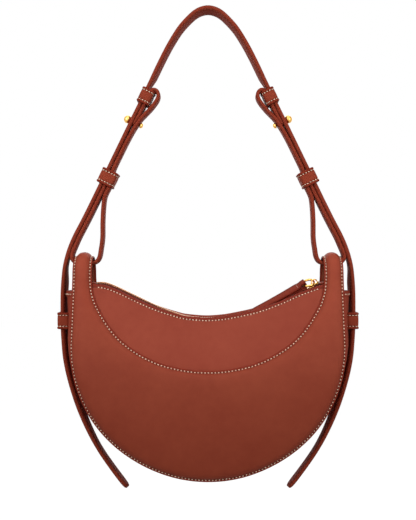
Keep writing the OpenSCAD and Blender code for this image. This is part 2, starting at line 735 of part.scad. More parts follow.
shoulder_strap();
loop_strap();  // loop_strap_left
right_of() loop_strap();  // loop_strap_right
stud_ball();  // stud_ball_left
right_of() stud_ball();  // stud_ball_right
stud_post();  // stud_post_left
right_of() stud_post();  // stud_post_right
lower_keeper();  // lower_keeper_left
right_of() lower_keeper();  // lower_keeper_right
upper_keeper();  // upper_keeper_left
right_of() upper_keeper();  // upper_keeper_right
tail();  // tail_left
right_of() tail();  // tail_right
side_keeper();  // side_keeper_left
right_of() side_keeper();  // side_keeper_right
front_crescent();
back_of() front_crescent();  // back_crescent
front_padding();
back_of() front_padding();  // back_padding
arch();  // arch_left
right_of() arch();  // arch_right
arch_core();  // arch_core_left
right_of() arch_core();  // arch_core_right
front_panel();
back_of() front_panel();  // back_panel
gusset();
gusset_hem();  // gusset_hem_left
right_of() gusset_hem();  // gusset_hem_right
base_board();
front_lining();
back_of() front_lining();  // back_lining
gusset_lining();
slip_pocket();
front_facing();
back_of() front_facing();  // back_facing
front_zip_tape();
back_of() front_zip_tape();  // back_zip_tape
front_teeth();
back_of() front_teeth();  // back_teeth
zip_end(-1);  // zip_end_left
zip_end(1);  // zip_end_right
zip_slider();
pull_ring();
pull_tab();
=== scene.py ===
"""Half moon shoulder bag in padded leather, hanging from its strap."""
import bpy
import bmesh
import numpy as np
from math import asin, atan2, copysign, cos, degrees, exp, pi, radians, sin, sqrt
from mathutils import Matrix, Vector, noise


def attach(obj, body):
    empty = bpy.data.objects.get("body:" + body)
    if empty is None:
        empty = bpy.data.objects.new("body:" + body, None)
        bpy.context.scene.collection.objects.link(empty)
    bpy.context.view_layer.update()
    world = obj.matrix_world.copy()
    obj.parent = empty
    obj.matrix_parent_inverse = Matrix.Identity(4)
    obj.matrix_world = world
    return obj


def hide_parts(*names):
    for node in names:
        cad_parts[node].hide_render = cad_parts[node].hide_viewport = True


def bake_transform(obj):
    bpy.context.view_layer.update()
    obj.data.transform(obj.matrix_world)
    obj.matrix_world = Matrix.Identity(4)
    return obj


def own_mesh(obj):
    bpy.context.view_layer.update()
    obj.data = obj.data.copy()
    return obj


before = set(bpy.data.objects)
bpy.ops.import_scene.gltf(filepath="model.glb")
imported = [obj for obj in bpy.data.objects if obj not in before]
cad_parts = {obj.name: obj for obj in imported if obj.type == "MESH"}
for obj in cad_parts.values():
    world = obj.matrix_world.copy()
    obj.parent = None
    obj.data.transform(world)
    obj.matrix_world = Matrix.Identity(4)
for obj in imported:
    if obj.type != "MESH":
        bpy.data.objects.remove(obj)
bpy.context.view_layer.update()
scene = bpy.context.scene


def add_object(name, data):
    o = bpy.data.objects.new(name, data)
    scene.collection.objects.link(o)
    return o


# Camera at the photograph's viewing angle: level, straight on, 0.93 m from the middle of the bag
camera_data = bpy.data.cameras.new("camera")
camera_data.sensor_fit = "VERTICAL"
camera_data.angle_y = radians(31.74)
camera = add_object("camera", camera_data)
camera.location = (0, -0.930, -0.253)
camera.rotation_euler = (radians(90), 0, 0)
scene.camera = camera

# Sizes in millimetres. x and z on the bag count from the middle of its round body
MM = 0.001
SIDES = (("left", -1), ("right", 1))  # with the sign of x there
BODY_R = 135.0
DROP = 336.6  # from the strap's hanging point down to the middle of the body
ARM_OUT = 133.7
ARM_IN = ARM_OUT - 19.5
ARM_H = 68.0  # the top of the arms, where the arches begin
HINGE = ARM_H - DROP  # the axis the bag swings about
RIM, MOUTH = 30.0, 17.6  # half the depth at the round edge and at the mouth
SWELL = 4.0  # what the middle of a face adds to it
SETTLE = 0.12  # how early the slope towards the mouth levels out
PANEL_T = CRES_T = 1.6
LINING_T = 0.8
GAP = 0.4  # between pieces that lie on each other
CRES_W = 109.8  # the crescent's widest place
SIDE_SWELL = 1.5  # how far the padding pushes the outer edge out at the sides
ROUND = 0.72  # the share of an edge that is round, before the straight arm
SEWN = 1.98  # from a crescent's edge to its stitches
FLAT = 2.5  # from its edge to the padding
PAD_H = 4.0
GUSSET_R = BODY_R - 1.2
GUSSET_TOP = 50.5
ZIP_R = 196.0
ZIP_Z = 24.0 + ZIP_R
ZIP_SPAN, SLIDER_A = 35.3, 33.4  # degrees from the middle of the zip's arc
STRAP_W, SHOULDER_W = 18.0, 21.0
STRAP_T, LOOP_T = 3.9, 3.7
LAY = STRAP_T / 2 + GAP + LOOP_T / 2  # from the strap's middle line to the loop strap's
KEEPER_T, KEEPER_L = 2.1, 16.0
KEEPER_GAP = 0.35  # between a keeper and what it goes round
EDGE_SEWN = 2.7  # from a strap's edge to its stitches
LIP_SEWN = 3.2  # from the mouth to the panel's stitches
SIDE_X = 147.0
SIDE_KEEPER_X = 1.0889 * BODY_R
BALL_R = 4.1

# The zip's rise over its arc and the lips' height over the zip, as shares of the body's radius
RISE = [(-0.88, -0.03), (-0.859, -0.018), (-0.821, 0.014), (-0.783, 0.04), (-0.738, 0.056),
        (-0.663, 0.0645), (-0.587, 0.0637), (-0.512, 0.0585), (-0.437, 0.048), (-0.361, 0.035),
        (-0.249, 0.017), (-0.185, 0.005), (-0.119, 0.0015), (-0.05, 0), (0.84, 0), (0.874, -0.026)]
LIP = [(-0.859, 0.0015), (-0.821, -0.0037), (-0.783, -0.008), (-0.738, -0.0067),
       (-0.663, -0.0045), (-0.512, -0.0037), (-0.437, -0.0015), (-0.361, 0.0037),
       (-0.249, 0.011), (-0.119, 0.0178), (0, 0.017), (0.119, 0.0211), (0.237, 0.0281),
       (0.36, 0.03), (0.482, 0.0356), (0.606, 0.037), (0.667, 0.0355), (0.73, 0.0252),
       (0.766, 0.0163), (0.815, 0.0019), (0.84, -0.008)]
# The inner seam from the middle of the bag up to an arm's top
SEAM_POINTS = [
    (-12, -24.9), (0, -25.2), (12, -24.9), (22.1, -23.6), (35.5, -21.1), (48.1, -17.4),
    (57.4, -13.5), (68.4, -7.8), (78.4, -1), (85.6, 4.9), (91.6, 11), (97.1, 17.8), (102.2, 25.2),
    (106.6, 32.4), (110.6, 40), (113.6, 48), (115.4, 57), (115.9, ARM_H), (115.9, ARM_H + 10)]


# --- numbers and lines
def lerp(a, b, t):
    return a + (b - a) * t


def smooth(a, b, v):
    """0 up to a and 1 from b on, with an eased slope between."""
    v = np.clip((v - a) / (b - a), 0, 1)
    return v * v * (3 - 2 * v)


def unit(v):
    return v / np.linalg.norm(v, axis=-1, keepdims=True)


def run_of(p):
    """The distance along a polyline at each of its points."""
    return np.concatenate([[0], np.cumsum(np.linalg.norm(np.diff(p, axis=0), axis=1))])


def along(s, d, p):
    """The rows of p at the distances s, where its own rows are at the distances d."""
    return np.stack([np.interp(s, d, p[:, k]) for k in range(p.shape[1])], 1)


def soften(p, times):
    p = np.array(p)
    for _ in range(times):
        p[1:-1] = p[1:-1] * 0.5 + (p[:-2] + p[2:]) * 0.25
    return p


def curve(points, steps=8):
    """A smooth curve through points, with some steps from each to the next."""
    p = np.array(points)
    out = []
    for i in range(len(p) - 1):
        a, b, c, d = p[max(0, i - 1)], p[i], p[i + 1], p[min(len(p) - 1, i + 2)]
        for k in range(steps):
            u = k / steps
            out.append(0.5 * (2 * b + (c - a) * u + (2 * a - 5 * b + 4 * c - d) * u * u
                              + (3 * b - a - 3 * c + d) * u ** 3))
    return np.array(out + [p[-1]])


def normals(p):
    """Unit normals of a curve in the x-z plane."""
    d = unit(np.gradient(p, axis=0))
    return np.stack([-d[:, 1], d[:, 0]], 1)


def points_at(x, y, z):
    return np.stack(np.broadcast_arrays(x, y, z), -1)


def oval(n, rx, ry, px=1, py=1):
    """Points round an oval, which is squarer the further the powers are below one."""
    def power(v, e):
        return copysign(abs(v) ** e, v)
    turns = [2 * pi * k / n for k in range(n)]
    return [(rx * power(cos(a), px), ry * power(sin(a), py)) for a in turns]


def mirrored(rows, about=0.0):
    """The rows of a profile backwards, with the first number mirrored."""
    return [(about - row[0], *row[1:]) for row in rows[::-1]]


def placed(at, points):
    return [tuple(at @ Vector(p)) for p in points]


def to_world(p):
    """Millimetres in the bag's own frame to metres in the shared frame."""
    p = np.array(p) * MM
    p[..., 2] -= DROP * MM
    return p


def face_name(side, what):
    return ("front_" if side > 0 else "back_") + what


# --- the bag's surfaces
def eased(table):
    """A table as a smooth curve: sampled closely, then averaged over a few millimetres."""
    xs = np.linspace(-1, 1, 1081)
    ys = np.interp(xs, [p[0] for p in table], [p[1] for p in table])
    k = np.hanning(49)
    pad = np.pad(ys, 24, mode="edge")
    return xs * BODY_R, np.convolve(pad, k / k.sum(), "valid") * BODY_R


RISE_CURVE = eased(RISE)
LIP_CURVE = eased(LIP)


def zip_z(x):
    return ZIP_Z - np.sqrt(ZIP_R ** 2 - x ** 2) + np.interp(x, *RISE_CURVE)


def mouth_z(x):
    q = np.clip(x, -ARM_IN, ARM_IN)
    return zip_z(q) + np.interp(q, *LIP_CURVE)


def dent(x, z, side):
    """Slight unevenness of soft leather, the same for every layer of a face."""
    x, z = np.broadcast_arrays(x, z)
    out = np.empty(x.shape)
    for i in np.ndindex(x.shape):
        p = Vector((x[i] * 0.016, z[i] * 0.016, 7.3 * side))
        out[i] = noise.noise(p) * 0.7 + noise.noise(p * 2.3) * 0.25
    fade = np.clip((mouth_z(x) - z) / 25, 0, 1)
    return out * 0.55 * fade


def half_depth(x, z):
    r = np.minimum(1, np.hypot(x, z) / BODY_R)
    rim = RIM + SWELL * (1 - r ** 2)
    low = BODY_R * 0.3
    v = np.maximum((z + low) / (mouth_z(x) + low), 0)
    h = np.clip(1 - abs(v - 1) / SETTLE, 0, 1)
    return lerp(rim, MOUTH, (np.minimum(v, 1) - h * h * SETTLE / 4) ** 1.6)


def parts_of(t):
    """A place along an edge as its side's sign, its angle on the round, its share of the arm."""
    a = abs(t)
    return copysign(1, t), pi / 2 * min(1, a / ROUND), max(0, a - ROUND) / (1 - ROUND)


def outer_edge(t):
    """The crescent's outer edge, from the left arm's top at -1 to the right one's at 1."""
    s, phi, w = parts_of(t)
    r = BODY_R - 0.2 + (SIDE_SWELL + 0.2) * smooth(20, 62, degrees(phi))
    return np.array([s * (r * sin(phi) + (ARM_OUT - BODY_R) * w), ARM_H * w - r * cos(phi)])


def seam_line():
    """The inner seam as even points, softened, with the run at each."""
    p = np.array(SEAM_POINTS)
    p = np.array([lerp(p[i], p[i + 1], k / 40) for i in range(len(p) - 1) for k in range(40)])
    k = np.hanning(61)
    k /= k.sum()
    p = np.stack([np.convolve(np.pad(c, 30, mode="edge"), k, "valid") for c in p.T], 1)
    p = p[(p[:, 0] >= 0) & (p[:, 1] <= ARM_H)]
    p = np.vstack([[0, p[0][1]], p, [p[-1][0], ARM_H]])
    return p, run_of(p)


SEAM, SEAM_RUN = seam_line()
SEAM_TURN = np.interp(28, SEAM[:, 1], SEAM_RUN)


def inner_edge(t):
    run = np.interp(abs(t), (0, 0.8, 1), (0, SEAM_TURN, SEAM_RUN[-1]))
    return along([run], SEAM_RUN, SEAM)[0] * (copysign(1, t), 1)


# --- meshes
def new_mesh(name, verts, faces, mats, index=None, attrs=(), rounded=True, fix=True):
    me = bpy.data.meshes.new(name)
    me.from_pydata([tuple(v) for v in verts], [], faces)
    for m in mats:
        me.materials.append(m)
    if index is not None:
        me.polygons.foreach_set("material_index", np.asarray(index, np.int32))
    for key, values in attrs:
        a = me.attributes.new(key, "FLOAT", "POINT")
        a.data.foreach_set("value", np.asarray(values, np.float32))
    if fix:
        bm = bmesh.new()
        bm.from_mesh(me)
        bmesh.ops.recalc_face_normals(bm, faces=bm.faces)
        bm.to_mesh(me)
        bm.free()
    me.polygons.foreach_set("use_smooth", [rounded] * len(me.polygons))
    me.update()
    return add_object(name, me)


def band(low, up, m):
    """The faces between two rings of m points."""
    return [(low + j, low + (j + 1) % m, up + (j + 1) % m, up + j) for j in range(m)]


def loft(name, rings, mats, profs=None, ring_mat=None, cyclic=False):
    """A closed skin through closed rings of points.

    profs has each ring's profile. In its rows numbers 2 and 3 are a point's seam and rim shade,
    and number 4, if it is there, the material from there on.
    """
    rings = np.array(rings)
    n, m = rings.shape[:2]
    attrs = []
    if profs is not None:
        profs = np.array(profs)
        attrs = [("seam", profs[:, :, 2].ravel()), ("rim", profs[:, :, 3].ravel())]
        if profs.shape[2] > 4:
            ring_mat = profs[0, :, 4]
    if ring_mat is None:
        ring_mat = [0] * m
    faces, index = [], []
    for i in range(n if cyclic else n - 1):
        faces += band(i * m, (i + 1) % n * m, m)
        index += list(ring_mat)
    verts = rings.reshape(-1, 3)
    if not cyclic:
        verts = np.vstack([verts, rings[0].mean(0), rings[-1].mean(0)])
        for centre, base in ((n * m, 0), (n * m + 1, (n - 1) * m)):
            faces += [(base + j, base + (j + 1) % m, centre) for j in range(m)]
            index += [max(ring_mat)] * m
        attrs = [(key, np.append(v, [v[0], v[-1]])) for key, v in attrs]
    return new_mesh(name, verts, faces, mats, index, attrs)


def sheet_grid(name, grids, mats):
    """A closed sheet through two grids of points: its first side, then its other side and edges."""
    rings = [np.vstack([a, b[::-1]]) for a, b in zip(*map(to_world, grids))]
    m = len(rings[0]) // 2
    return loft(name, rings, mats, ring_mat=[0] * (m - 1) + [1] * (m + 1))


def join(objects, name):
    bpy.ops.object.select_all(action="DESELECT")
    for o in objects:
        o.select_set(True)
    bpy.context.view_layer.objects.active = objects[0]
    bpy.ops.object.join()
    objects[0].name = name
    return objects[0]


def copies(name, points, sides, mat, **options):
    """Many small closed shapes as one mesh: each one's points are rings with so many sides."""
    n, m = points.shape[:2]
    last = m - sides
    faces = [f for i in range(0, last, sides) for f in band(i, i + sides, sides)]
    faces += [tuple(range(sides))[::-1], tuple(range(last, m))]
    faces = [tuple(v + i * m for v in f) for i in range(n) for f in faces]
    return new_mesh(name, points.reshape(-1, 3), faces, [mat], **options)


THREAD_SIDES = 6


def stitch_row(path, normal, closed=False, pitch=3.35, length=1.6, width=1.5, high=0.5, sink=0.12):
    """The points of one row of stitches along a path, in metres."""
    both = np.hstack([path, normal])
    if closed:
        both = np.vstack([both, both[:1]])
    d = run_of(both[:, :3])
    n = max(2, int(d[-1] / (pitch * MM)))
    q = along((np.arange(n) + 0.5) * d[-1] / n, d, both)
    pos, nrm = q[:, :3], unit(q[:, 3:])
    t = np.gradient(pos, axis=0)
    t = unit(t - nrm * (t * nrm).sum(1)[:, None])
    side = np.cross(nrm, t)
    slant = radians(4)
    t, side = t * cos(slant) + side * sin(slant), side * cos(slant) - t * sin(slant)
    stations = [(-0.5, 0.3), (-0.36, 0.8), (-0.12, 1), (0.12, 1), (0.36, 0.8), (0.5, 0.3)]
    shape = [(x * length, y * r, z * r - sink - (x * 2) ** 4 * high * 0.8)
             for x, r in stations for y, z in oval(THREAD_SIDES, width / 2, high)]
    shape = np.array(shape) * MM
    return pos[:, None] + sum(shape[None, :, k:k + 1] * axis[:, None]
                              for k, axis in enumerate((t, side, nrm)))


# --- materials
def put(t, socket, v):
    """Gives a socket a value or another node's output."""
    if isinstance(v, bpy.types.NodeSocket):
        t.links.new(v, socket)
    else:
        socket.default_value = v


def node(t, kind, settings=(), places=(), **names):
    """A node with settings, and inputs by place or name: values or other nodes' outputs."""
    n = t.nodes.new("ShaderNode" + kind)
    for key, v in dict(settings).items():
        setattr(n, key, v)
    names = {key.replace("_", " "): v for key, v in names.items()}
    for key, v in {**dict(places), **names}.items():
        put(t, n.inputs[key], v)
    return n


def cleared(owner):
    """The nodes of a material or a world, with none in them."""
    owner.use_nodes = True
    owner.node_tree.nodes.clear()
    return owner.node_tree


def shader(name):
    """A new material, its nodes and its principled shader."""
    m = bpy.data.materials.new(name)
    t = cleared(m)
    b = node(t, "BsdfPrincipled")
    node(t, "OutputMaterial", Surface=b.outputs[0])
    return m, t, b


def ramp(t, src, stops):
    r = node(t, "ValToRGB", Fac=src)
    first, last = r.color_ramp.elements
    (first.position, first.color), (last.position, last.color) = stops[0], stops[-1]
    for p, c in stops[1:-1]:
        r.color_ramp.elements.new(p).color = c
    return r.outputs[0]


def calc(t, op, a, b, clamp=False):
    return node(t, "Math", {"operation": op, "use_clamp": clamp}, {0: a, 1: b}).outputs[0]


def mix(t, fac, a, b, blend="MIX"):
    settings = {"data_type": "RGBA", "blend_type": blend}
    return node(t, "Mix", settings, {0: fac, 6: a, 7: b}).outputs[2]


def coordinates(t):
    return node(t, "TexCoord").outputs["Object"]


def texture(t, kind, co, settings=(), **inputs):
    return node(t, "Tex" + kind, settings, Vector=co, **inputs).outputs["Fac"]


def surface(t, b, colour, rough, shine, height, bump, deep):
    """The colour, roughness, gloss and bumps of a principled shader."""
    n = node(t, "Bump", Strength=bump, Distance=deep, Height=height).outputs[0]
    for key, v in zip(("Base Color", "Roughness", "Specular IOR Level", "Normal"),
                      (colour, rough, shine, n)):
        put(t, b.inputs[key], v)


def srgb(r, g, b):
    def lin(c):
        c /= 255
        return c / 12.92 if c <= 0.04045 else ((c + 0.055) / 1.055) ** 2.4
    return (lin(r), lin(g), lin(b), 1)


def grain_group():
    """Leather grain: fine pebbles, pores and broad tone, from object coordinates."""
    g = bpy.data.node_groups.new("leather_grain", "ShaderNodeTree")
    g.interface.new_socket("Grain", in_out="INPUT", socket_type="NodeSocketFloat")
    for key in ("Height", "Pores", "Tone"):
        g.interface.new_socket(key, in_out="OUTPUT", socket_type="NodeSocketFloat")
    i, o = g.nodes.new("NodeGroupInput"), g.nodes.new("NodeGroupOutput")
    co = coordinates(g)
    warp = node(g, "TexNoise", Vector=co, Scale=260, Detail=2)
    shift = node(g, "VectorMath", {"operation": "SCALE"},
                 Vector=warp.outputs["Color"], Scale=0.0011)
    moved = node(g, "VectorMath", {"operation": "ADD"}, {0: co, 1: shift.outputs[0]})
    cells = node(g, "TexVoronoi", {"feature": "DISTANCE_TO_EDGE"},
                 Vector=moved.outputs[0], Scale=i.outputs["Grain"])
    fine = texture(g, "Noise", co, Scale=2600, Detail=4)
    mid = texture(g, "Noise", co, Scale=120, Detail=6, Roughness=0.6)
    broad = texture(g, "Noise", co, Scale=16, Detail=4, Roughness=0.62)

    def total(*parts):
        terms = [calc(g, "MULTIPLY", src, share) for src, share in parts]
        for term in terms[1:]:
            terms[0] = calc(g, "ADD", terms[0], term)
        return terms[0]
    crease = calc(g, "MULTIPLY", cells.outputs["Distance"], 3.0)
    crease = calc(g, "SMOOTH_MIN", crease, 1.0)
    pores = node(g, "MapRange", Value=cells.outputs["Distance"], From_Max=0.12)
    put(g, o.inputs["Height"], total((crease, 0.6), (fine, 0.55), (mid, 0.7)))
    put(g, o.inputs["Pores"], pores.outputs[0])
    put(g, o.inputs["Tone"], total((broad, 0.65), (mid, 0.35)))
    return g


GRAIN = grain_group()


def shaded(colour, r, g, b):
    return (colour[0] * r, colour[1] * g, colour[2] * b, 1)


def leather(name, light, dark, rough=0.6, grain=1500.0, bump=0.16, shine=0.12, painted_height_shade=False):
    """Leather with painted shade darkening its stitch grooves, and redder at its rims, where the
    edges are painted.
    """
    m, t, b = shader(name)
    g = t.nodes.new("ShaderNodeGroup")
    g.node_tree = GRAIN
    g.inputs["Grain"].default_value = grain
    white = (1, 1, 1, 1)
    tone = ramp(t, g.outputs["Tone"], [(0.36, dark), (0.66, light)])
    pores = ramp(t, g.outputs["Pores"], [(0, (0.92, 0.91, 0.9, 1)), (1, white)])
    colour = mix(t, 1.0, tone, pores, "MULTIPLY")
    if painted_height_shade:
        # painted light and shade: full colour from about the bag's middle up, darker and redder
        # towards the bottom, as if lit from above
        xyz = node(t, "SeparateXYZ", Vector=coordinates(t))
        up = calc(t, "ADD", xyz.outputs["Z"], 0.46)
        up = calc(t, "MULTIPLY", up, 5.2, clamp=True)
        depth = ramp(t, up, [(0, (0.71, 0.65, 0.59, 1)), (0.5, (0.81, 0.79, 0.77, 1)), (1, white)])
        colour = mix(t, 1.0, colour, depth, "MULTIPLY")
    seam, rim = [node(t, "Attribute", {"attribute_name": key}).outputs["Fac"]
                 for key in ("seam", "rim")]
    colour = mix(t, rim, colour, shaded(dark, 0.72, 0.5, 0.45))
    # painted shade: the seam shade takes the colour towards near black in the stitch grooves and
    # the creases beside them
    colour = mix(t, calc(t, "MULTIPLY", seam, 0.9), colour, shaded(dark, 0.16, 0.13, 0.12))
    matt = calc(t, "MULTIPLY", g.outputs["Tone"], 0.24)
    surface(t, b, colour, calc(t, "ADD", matt, rough - 0.12), shine,
            g.outputs["Height"], bump, 0.0004)
    return m


def speckled(name, low, high, scale, detail, edge, rough, shine, bump, deep, metallic=0.0):
    """Paint or metal with a fine unevenness of tone, gloss and surface."""
    m, t, b = shader(name)
    fac = texture(t, "Noise", coordinates(t), Scale=scale, Detail=detail)
    b.inputs["Metallic"].default_value = metallic
    matt = calc(t, "ADD", calc(t, "MULTIPLY", fac, 0.2), rough)
    surface(t, b, ramp(t, fac, [(edge, low), (1 - edge, high)]), matt, shine, fac, bump, deep)
    return m


def metal(name, low, high, rough):
    return speckled(name, low, high, 400, 6, 0.35, rough, 0.5, 0.05, 0.0002, 1.0)


def thread(name, low, high, twist):
    m, t, b = shader(name)
    co = coordinates(t)
    tone = texture(t, "Noise", co, Scale=3200, Detail=3)
    ply = texture(t, "Wave", co, {"bands_direction": "DIAGONAL"}, Scale=900, Distortion=1.5)
    colour = ramp(t, tone, [(0.3, low), (0.7, high)])
    colour = mix(t, calc(t, "MULTIPLY", ply, 0.15), colour, twist)
    surface(t, b, colour, 0.7, 0.1, ply, 0.3, 0.0003)
    return m


def woven(name, light, dark, scale=1400.0):
    m, t, b = shader(name)
    co = coordinates(t)
    h = calc(t, "MULTIPLY", *[texture(t, "Wave", co, {"bands_direction": d}, Scale=scale / 3,
                                      Distortion=0.6) for d in ("X", "Z")])
    surface(t, b, ramp(t, h, [(0, dark), (0.6, light)]), 0.85, 0.05, h, 0.4, 0.0002)
    return m


# The body leather carries painted shade that darkens it towards the bottom of the bag
BODY_L = leather("body_leather", srgb(157, 72, 51), srgb(146, 62, 43), bump=0.06, painted_height_shade=True)
PANEL_L = leather("panel_leather", srgb(152, 69, 51), srgb(141, 60, 44), rough=0.64, bump=0.09)
STRAP_L = leather("strap_leather", srgb(135, 56, 41), srgb(129, 51, 37), rough=0.66, grain=1800,
                  bump=0.02, shine=0.03)
STRAP_RIM = leather("strap_rim", srgb(136, 57, 40), srgb(131, 53, 37), grain=1800, bump=0.015,
                    shine=0.02)
KEEPER_LEATHER = leather("keeper_leather", srgb(140, 60, 42), srgb(135, 56, 39), bump=0.02,
                         shine=0.03)
SUEDE = leather("back_leather", srgb(140, 70, 50), srgb(118, 56, 40), rough=0.8, grain=2600,
                bump=0.3)
EDGE = speckled("edge_paint", srgb(104, 30, 18), srgb(136, 44, 26), 900, 4, 0.3, 0.4, 0.06, 0.12,
                0.0003)
THREAD = thread("thread", srgb(228, 196, 170), srgb(252, 230, 208), srgb(180, 140, 112))
STRAP_THREAD = thread("strap_thread", srgb(180, 122, 98), srgb(204, 150, 124), srgb(140, 90, 70))
BRASS = metal("brass", srgb(216, 158, 78), srgb(242, 196, 112), 0.1)
# The teeth are the zip's own brass, made darker and duller than the slider's as painted shade for
# the back row and the gaps between teeth
TEETH_METAL = metal("teeth_metal", srgb(200, 150, 110), srgb(226, 178, 136), 0.26)
LINING = woven("lining_cloth", srgb(128, 92, 74), srgb(92, 62, 48))
TAPE = woven("zip_tape", srgb(110, 44, 34), srgb(74, 24, 18), 2200.0)
BOARD = woven("board", srgb(90, 84, 78), srgb(60, 56, 52), 2500.0)


def finish(o, body, slot, *nodes):
    """Puts a piece on its body and hides the nodes it stands for. slot is not used."""
    if nodes:
        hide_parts(*nodes)
    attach(o, body)


def stitches(name, rows, mat=THREAD):
    return copies(name, np.concatenate(rows), THREAD_SIDES, mat, fix=False)


def sew(name, rows, body="bag", slot="strap_leather"):
    finish(stitches(name + "_stitches", rows), body, slot)


# --- padded crescents and arches
def crescent_profile(w):
    """Across it: distance from the outer edge, height, seam shade, rim shade, material."""
    base, top = GAP, GAP + CRES_T
    rows = [(0.45, base, 0, 1, 1), (0.1, base + 0.25, 0, 1, 1), (0, base + 0.75, 0, 1, 1),
            (0.1, base + 1.25, 0, 1, 1), (0.45, top - 0.06, 0, 1, 0), (0.9, top, 0, 0.8, 0),
            (1.45, top, 0.1, 0.55, 0), (1.72, top - 0.12, 0.7, 0.4, 0),
            (SEWN, top - 0.24, 1, 0.3, 0), (2.24, top - 0.1, 0.7, 0.25, 0),
            (FLAT, top + 0.12, 0.25, 0.2, 0)]
    for q in (0.001, 0.004, 0.009, 0.016, 0.027, 0.042, 0.062, 0.09, 0.125, 0.17, 0.23, 0.3, 0.4,
              0.5):
        d = (w - 2 * FLAT) * q
        rise = PAD_H * (1 - exp(-d / 2.1)) * (0.9 + 0.1 * sin(pi * q))
        rise += 2.0 * (w / CRES_W) ** 2 * sin(pi * q) ** 1.2
        rows.append((FLAT + d, top + 0.12 + rise, 0.25 * exp(-d / 0.7),
                     0.2 * exp(-d / 1.5), 0))
    back = [(w * k, base, 0, 0, 2) for k in (0.9, 0.7, 0.5, 0.3, 0.1)]
    return rows + mirrored(rows[:-1], w) + back


def crescent_ring():
    """Both crescents and both arches: one padded loop round the bag, sewn along its edges."""
    rings, profs = [], []
    lines = ([], []), ([], [])

    def station(w, place):
        prof = np.array(crescent_profile(w))
        rings.append(place(prof[:, 0], prof[:, 1]))
        profs.append(prof)
        top = GAP + CRES_T - 0.1
        for (points, ups), s in zip(lines, (SEWN, w - SEWN)):
            points.append(place(s, top))
            ups.append(place(s, top + 1) - points[-1])

    def face(t, side):
        o, i = outer_edge(t), inner_edge(t)
        w = np.linalg.norm(i - o)
        u = (i - o) / w

        def place(s, h):
            x, z = o[0] + u[0] * s, o[1] + u[1] * s
            y = half_depth(x, z) + h + dent(x, z, side) * (h - GAP > 0.1)
            return points_at(x, -side * y, z)
        station(w, place)

    def arch(deg, side_x):
        out_x, a = ARM_OUT + SIDE_SWELL, radians(deg)

        def place(s, h):
            r = MOUTH + h
            return points_at(side_x * (out_x - s), -r * cos(a), ARM_H + r * sin(a))
        station(out_x - SEAM[-1, 0], place)

    for side in (1, -1):
        for t in np.linspace(-1, 1, 301)[::side]:
            face(t, side)
        for deg in range(8, 180, 8):
            arch(deg if side > 0 else 180 - deg, side)
    o = loft("crescents", to_world(rings), [BODY_L, EDGE, SUEDE], profs, cyclic=True)
    finish(o, "bag", "strap_leather", "front_crescent", "back_crescent", "arch_left", "arch_right",
           "front_padding", "back_padding", "arch_core_left", "arch_core_right")
    rows = [stitch_row(to_world(points), ups, closed=True) for points, ups in lines]
    sew("crescent", rows)
    return o


crescents = crescent_ring()


# --- faces
def across(r, n):
    """x from one side of a circle to the other, closer towards its ends."""
    return r * np.sin(np.linspace(-pi / 2, pi / 2, n))


def circle_z(r, x):
    return -sqrt(max(0, r * r - x * x))


# The panel's rows up to the rim, as shares of its height, and its rim along the mouth: height,
# offset, seam shade, rim shade, material
FACE_ROWS = (0, 0.12, 0.25, 0.38, 0.5, 0.62, 0.72, 0.8, 0.86, 0.91, 0.945)
MOUTH_RIM = [(-4.2, 0, 0, 0, 0), (-3.5, 0.02, 0.35, 0.1, 0), (-LIP_SEWN, -0.16, 0.95, 0.2, 0),
             (-2.9, 0.05, 0.35, 0.4, 0), (-2.2, 0.16, 0, 0.7, 0), (-1.0, 0.16, 0, 1, 0),
             (-0.4, 0.05, 0, 1, 1), (-0.08, -0.4, 0, 1, 1), (0, -PANEL_T / 2, 0, 1, 1),
             (-0.08, -PANEL_T + 0.3, 0, 1, 1), (-0.5, -PANEL_T, 0, 1, 1)]


def panel(side):
    name = face_name(side, "panel")
    r = BODY_R - 0.3
    rings, profs, line = [], [], []
    for x in across(r, 141):
        zb, zt = circle_z(r, x), mouth_z(x)
        prof = [lerp(zb, zt, k) for k in FACE_ROWS]
        prof = [(z if z < zt - 4.4 else zt - 5, 0, 0, 0, 0) for z in prof]
        prof += [(zt + h, *rest) for h, *rest in MOUTH_RIM]
        prof += [(lerp(zt, zb, k), -PANEL_T, 0, 0, 2) for k in (0.05, 0.2, 0.4, 0.6, 0.8, 0.98)]
        z, off = np.array(prof).T[:2]
        y = half_depth(x, z) + off + dent(x, z, side)
        rings.append(points_at(x, -side * y, z))
        profs.append(prof)
        if abs(x) < 112:
            z = zt - LIP_SEWN
            line.append([x, -side * (half_depth(x, z) - 0.05), z])
    finish(loft(name + "_skin", to_world(rings), [PANEL_L, EDGE, SUEDE], profs),
           "bag", "panel_leather", name)
    row = stitch_row(to_world(line), [[0, -side, 0]] * len(line), pitch=3.2, length=1.7)
    sew(name, [row], slot="panel_leather")


for side in (1, -1):
    panel(side)


# --- gusset, hems
BULGE = SIDE_KEEPER_X - (STRAP_T / 2 + KEEPER_GAP + KEEPER_T) - GAP - GUSSET_R
EAR = KEEPER_GAP + KEEPER_T - 0.6 - GAP  # what the top ends add, up to the side keepers


def gusset_point(t, y, inset, side_inset):
    """A point of the gusset: t along it as on the crescent's edge, y across it from -1 to 1."""
    s, phi, up = parts_of(t)
    n = np.array([sin(phi), -cos(phi)])
    p = (GUSSET_R - inset) * n + (0, GUSSET_TOP * up)
    w = half_depth(p[0], p[1]) - side_inset
    b = lerp(2.0, BULGE, (phi / (pi / 2)) ** 2) + EAR * np.clip((abs(t) - 0.89) / 0.11, 0, 1)
    b *= 1 - y * y
    b += 0.35 * noise.noise(Vector((t * 9, y * 1.4, 3.1)))
    return [s * (p[0] + n[0] * b), y * w, p[1] + n[1] * b]


def gusset_sheet(name, inset, thick, side_inset, mats, step):
    ts, ys = np.linspace(-1, 1, 161)[::step], np.linspace(-1, 1, 21)[::step]
    grids = [[[gusset_point(t, y, deep, side_inset) for y in ys] for t in ts]
             for deep in (inset, inset + thick)]
    return sheet_grid(name, grids, mats)


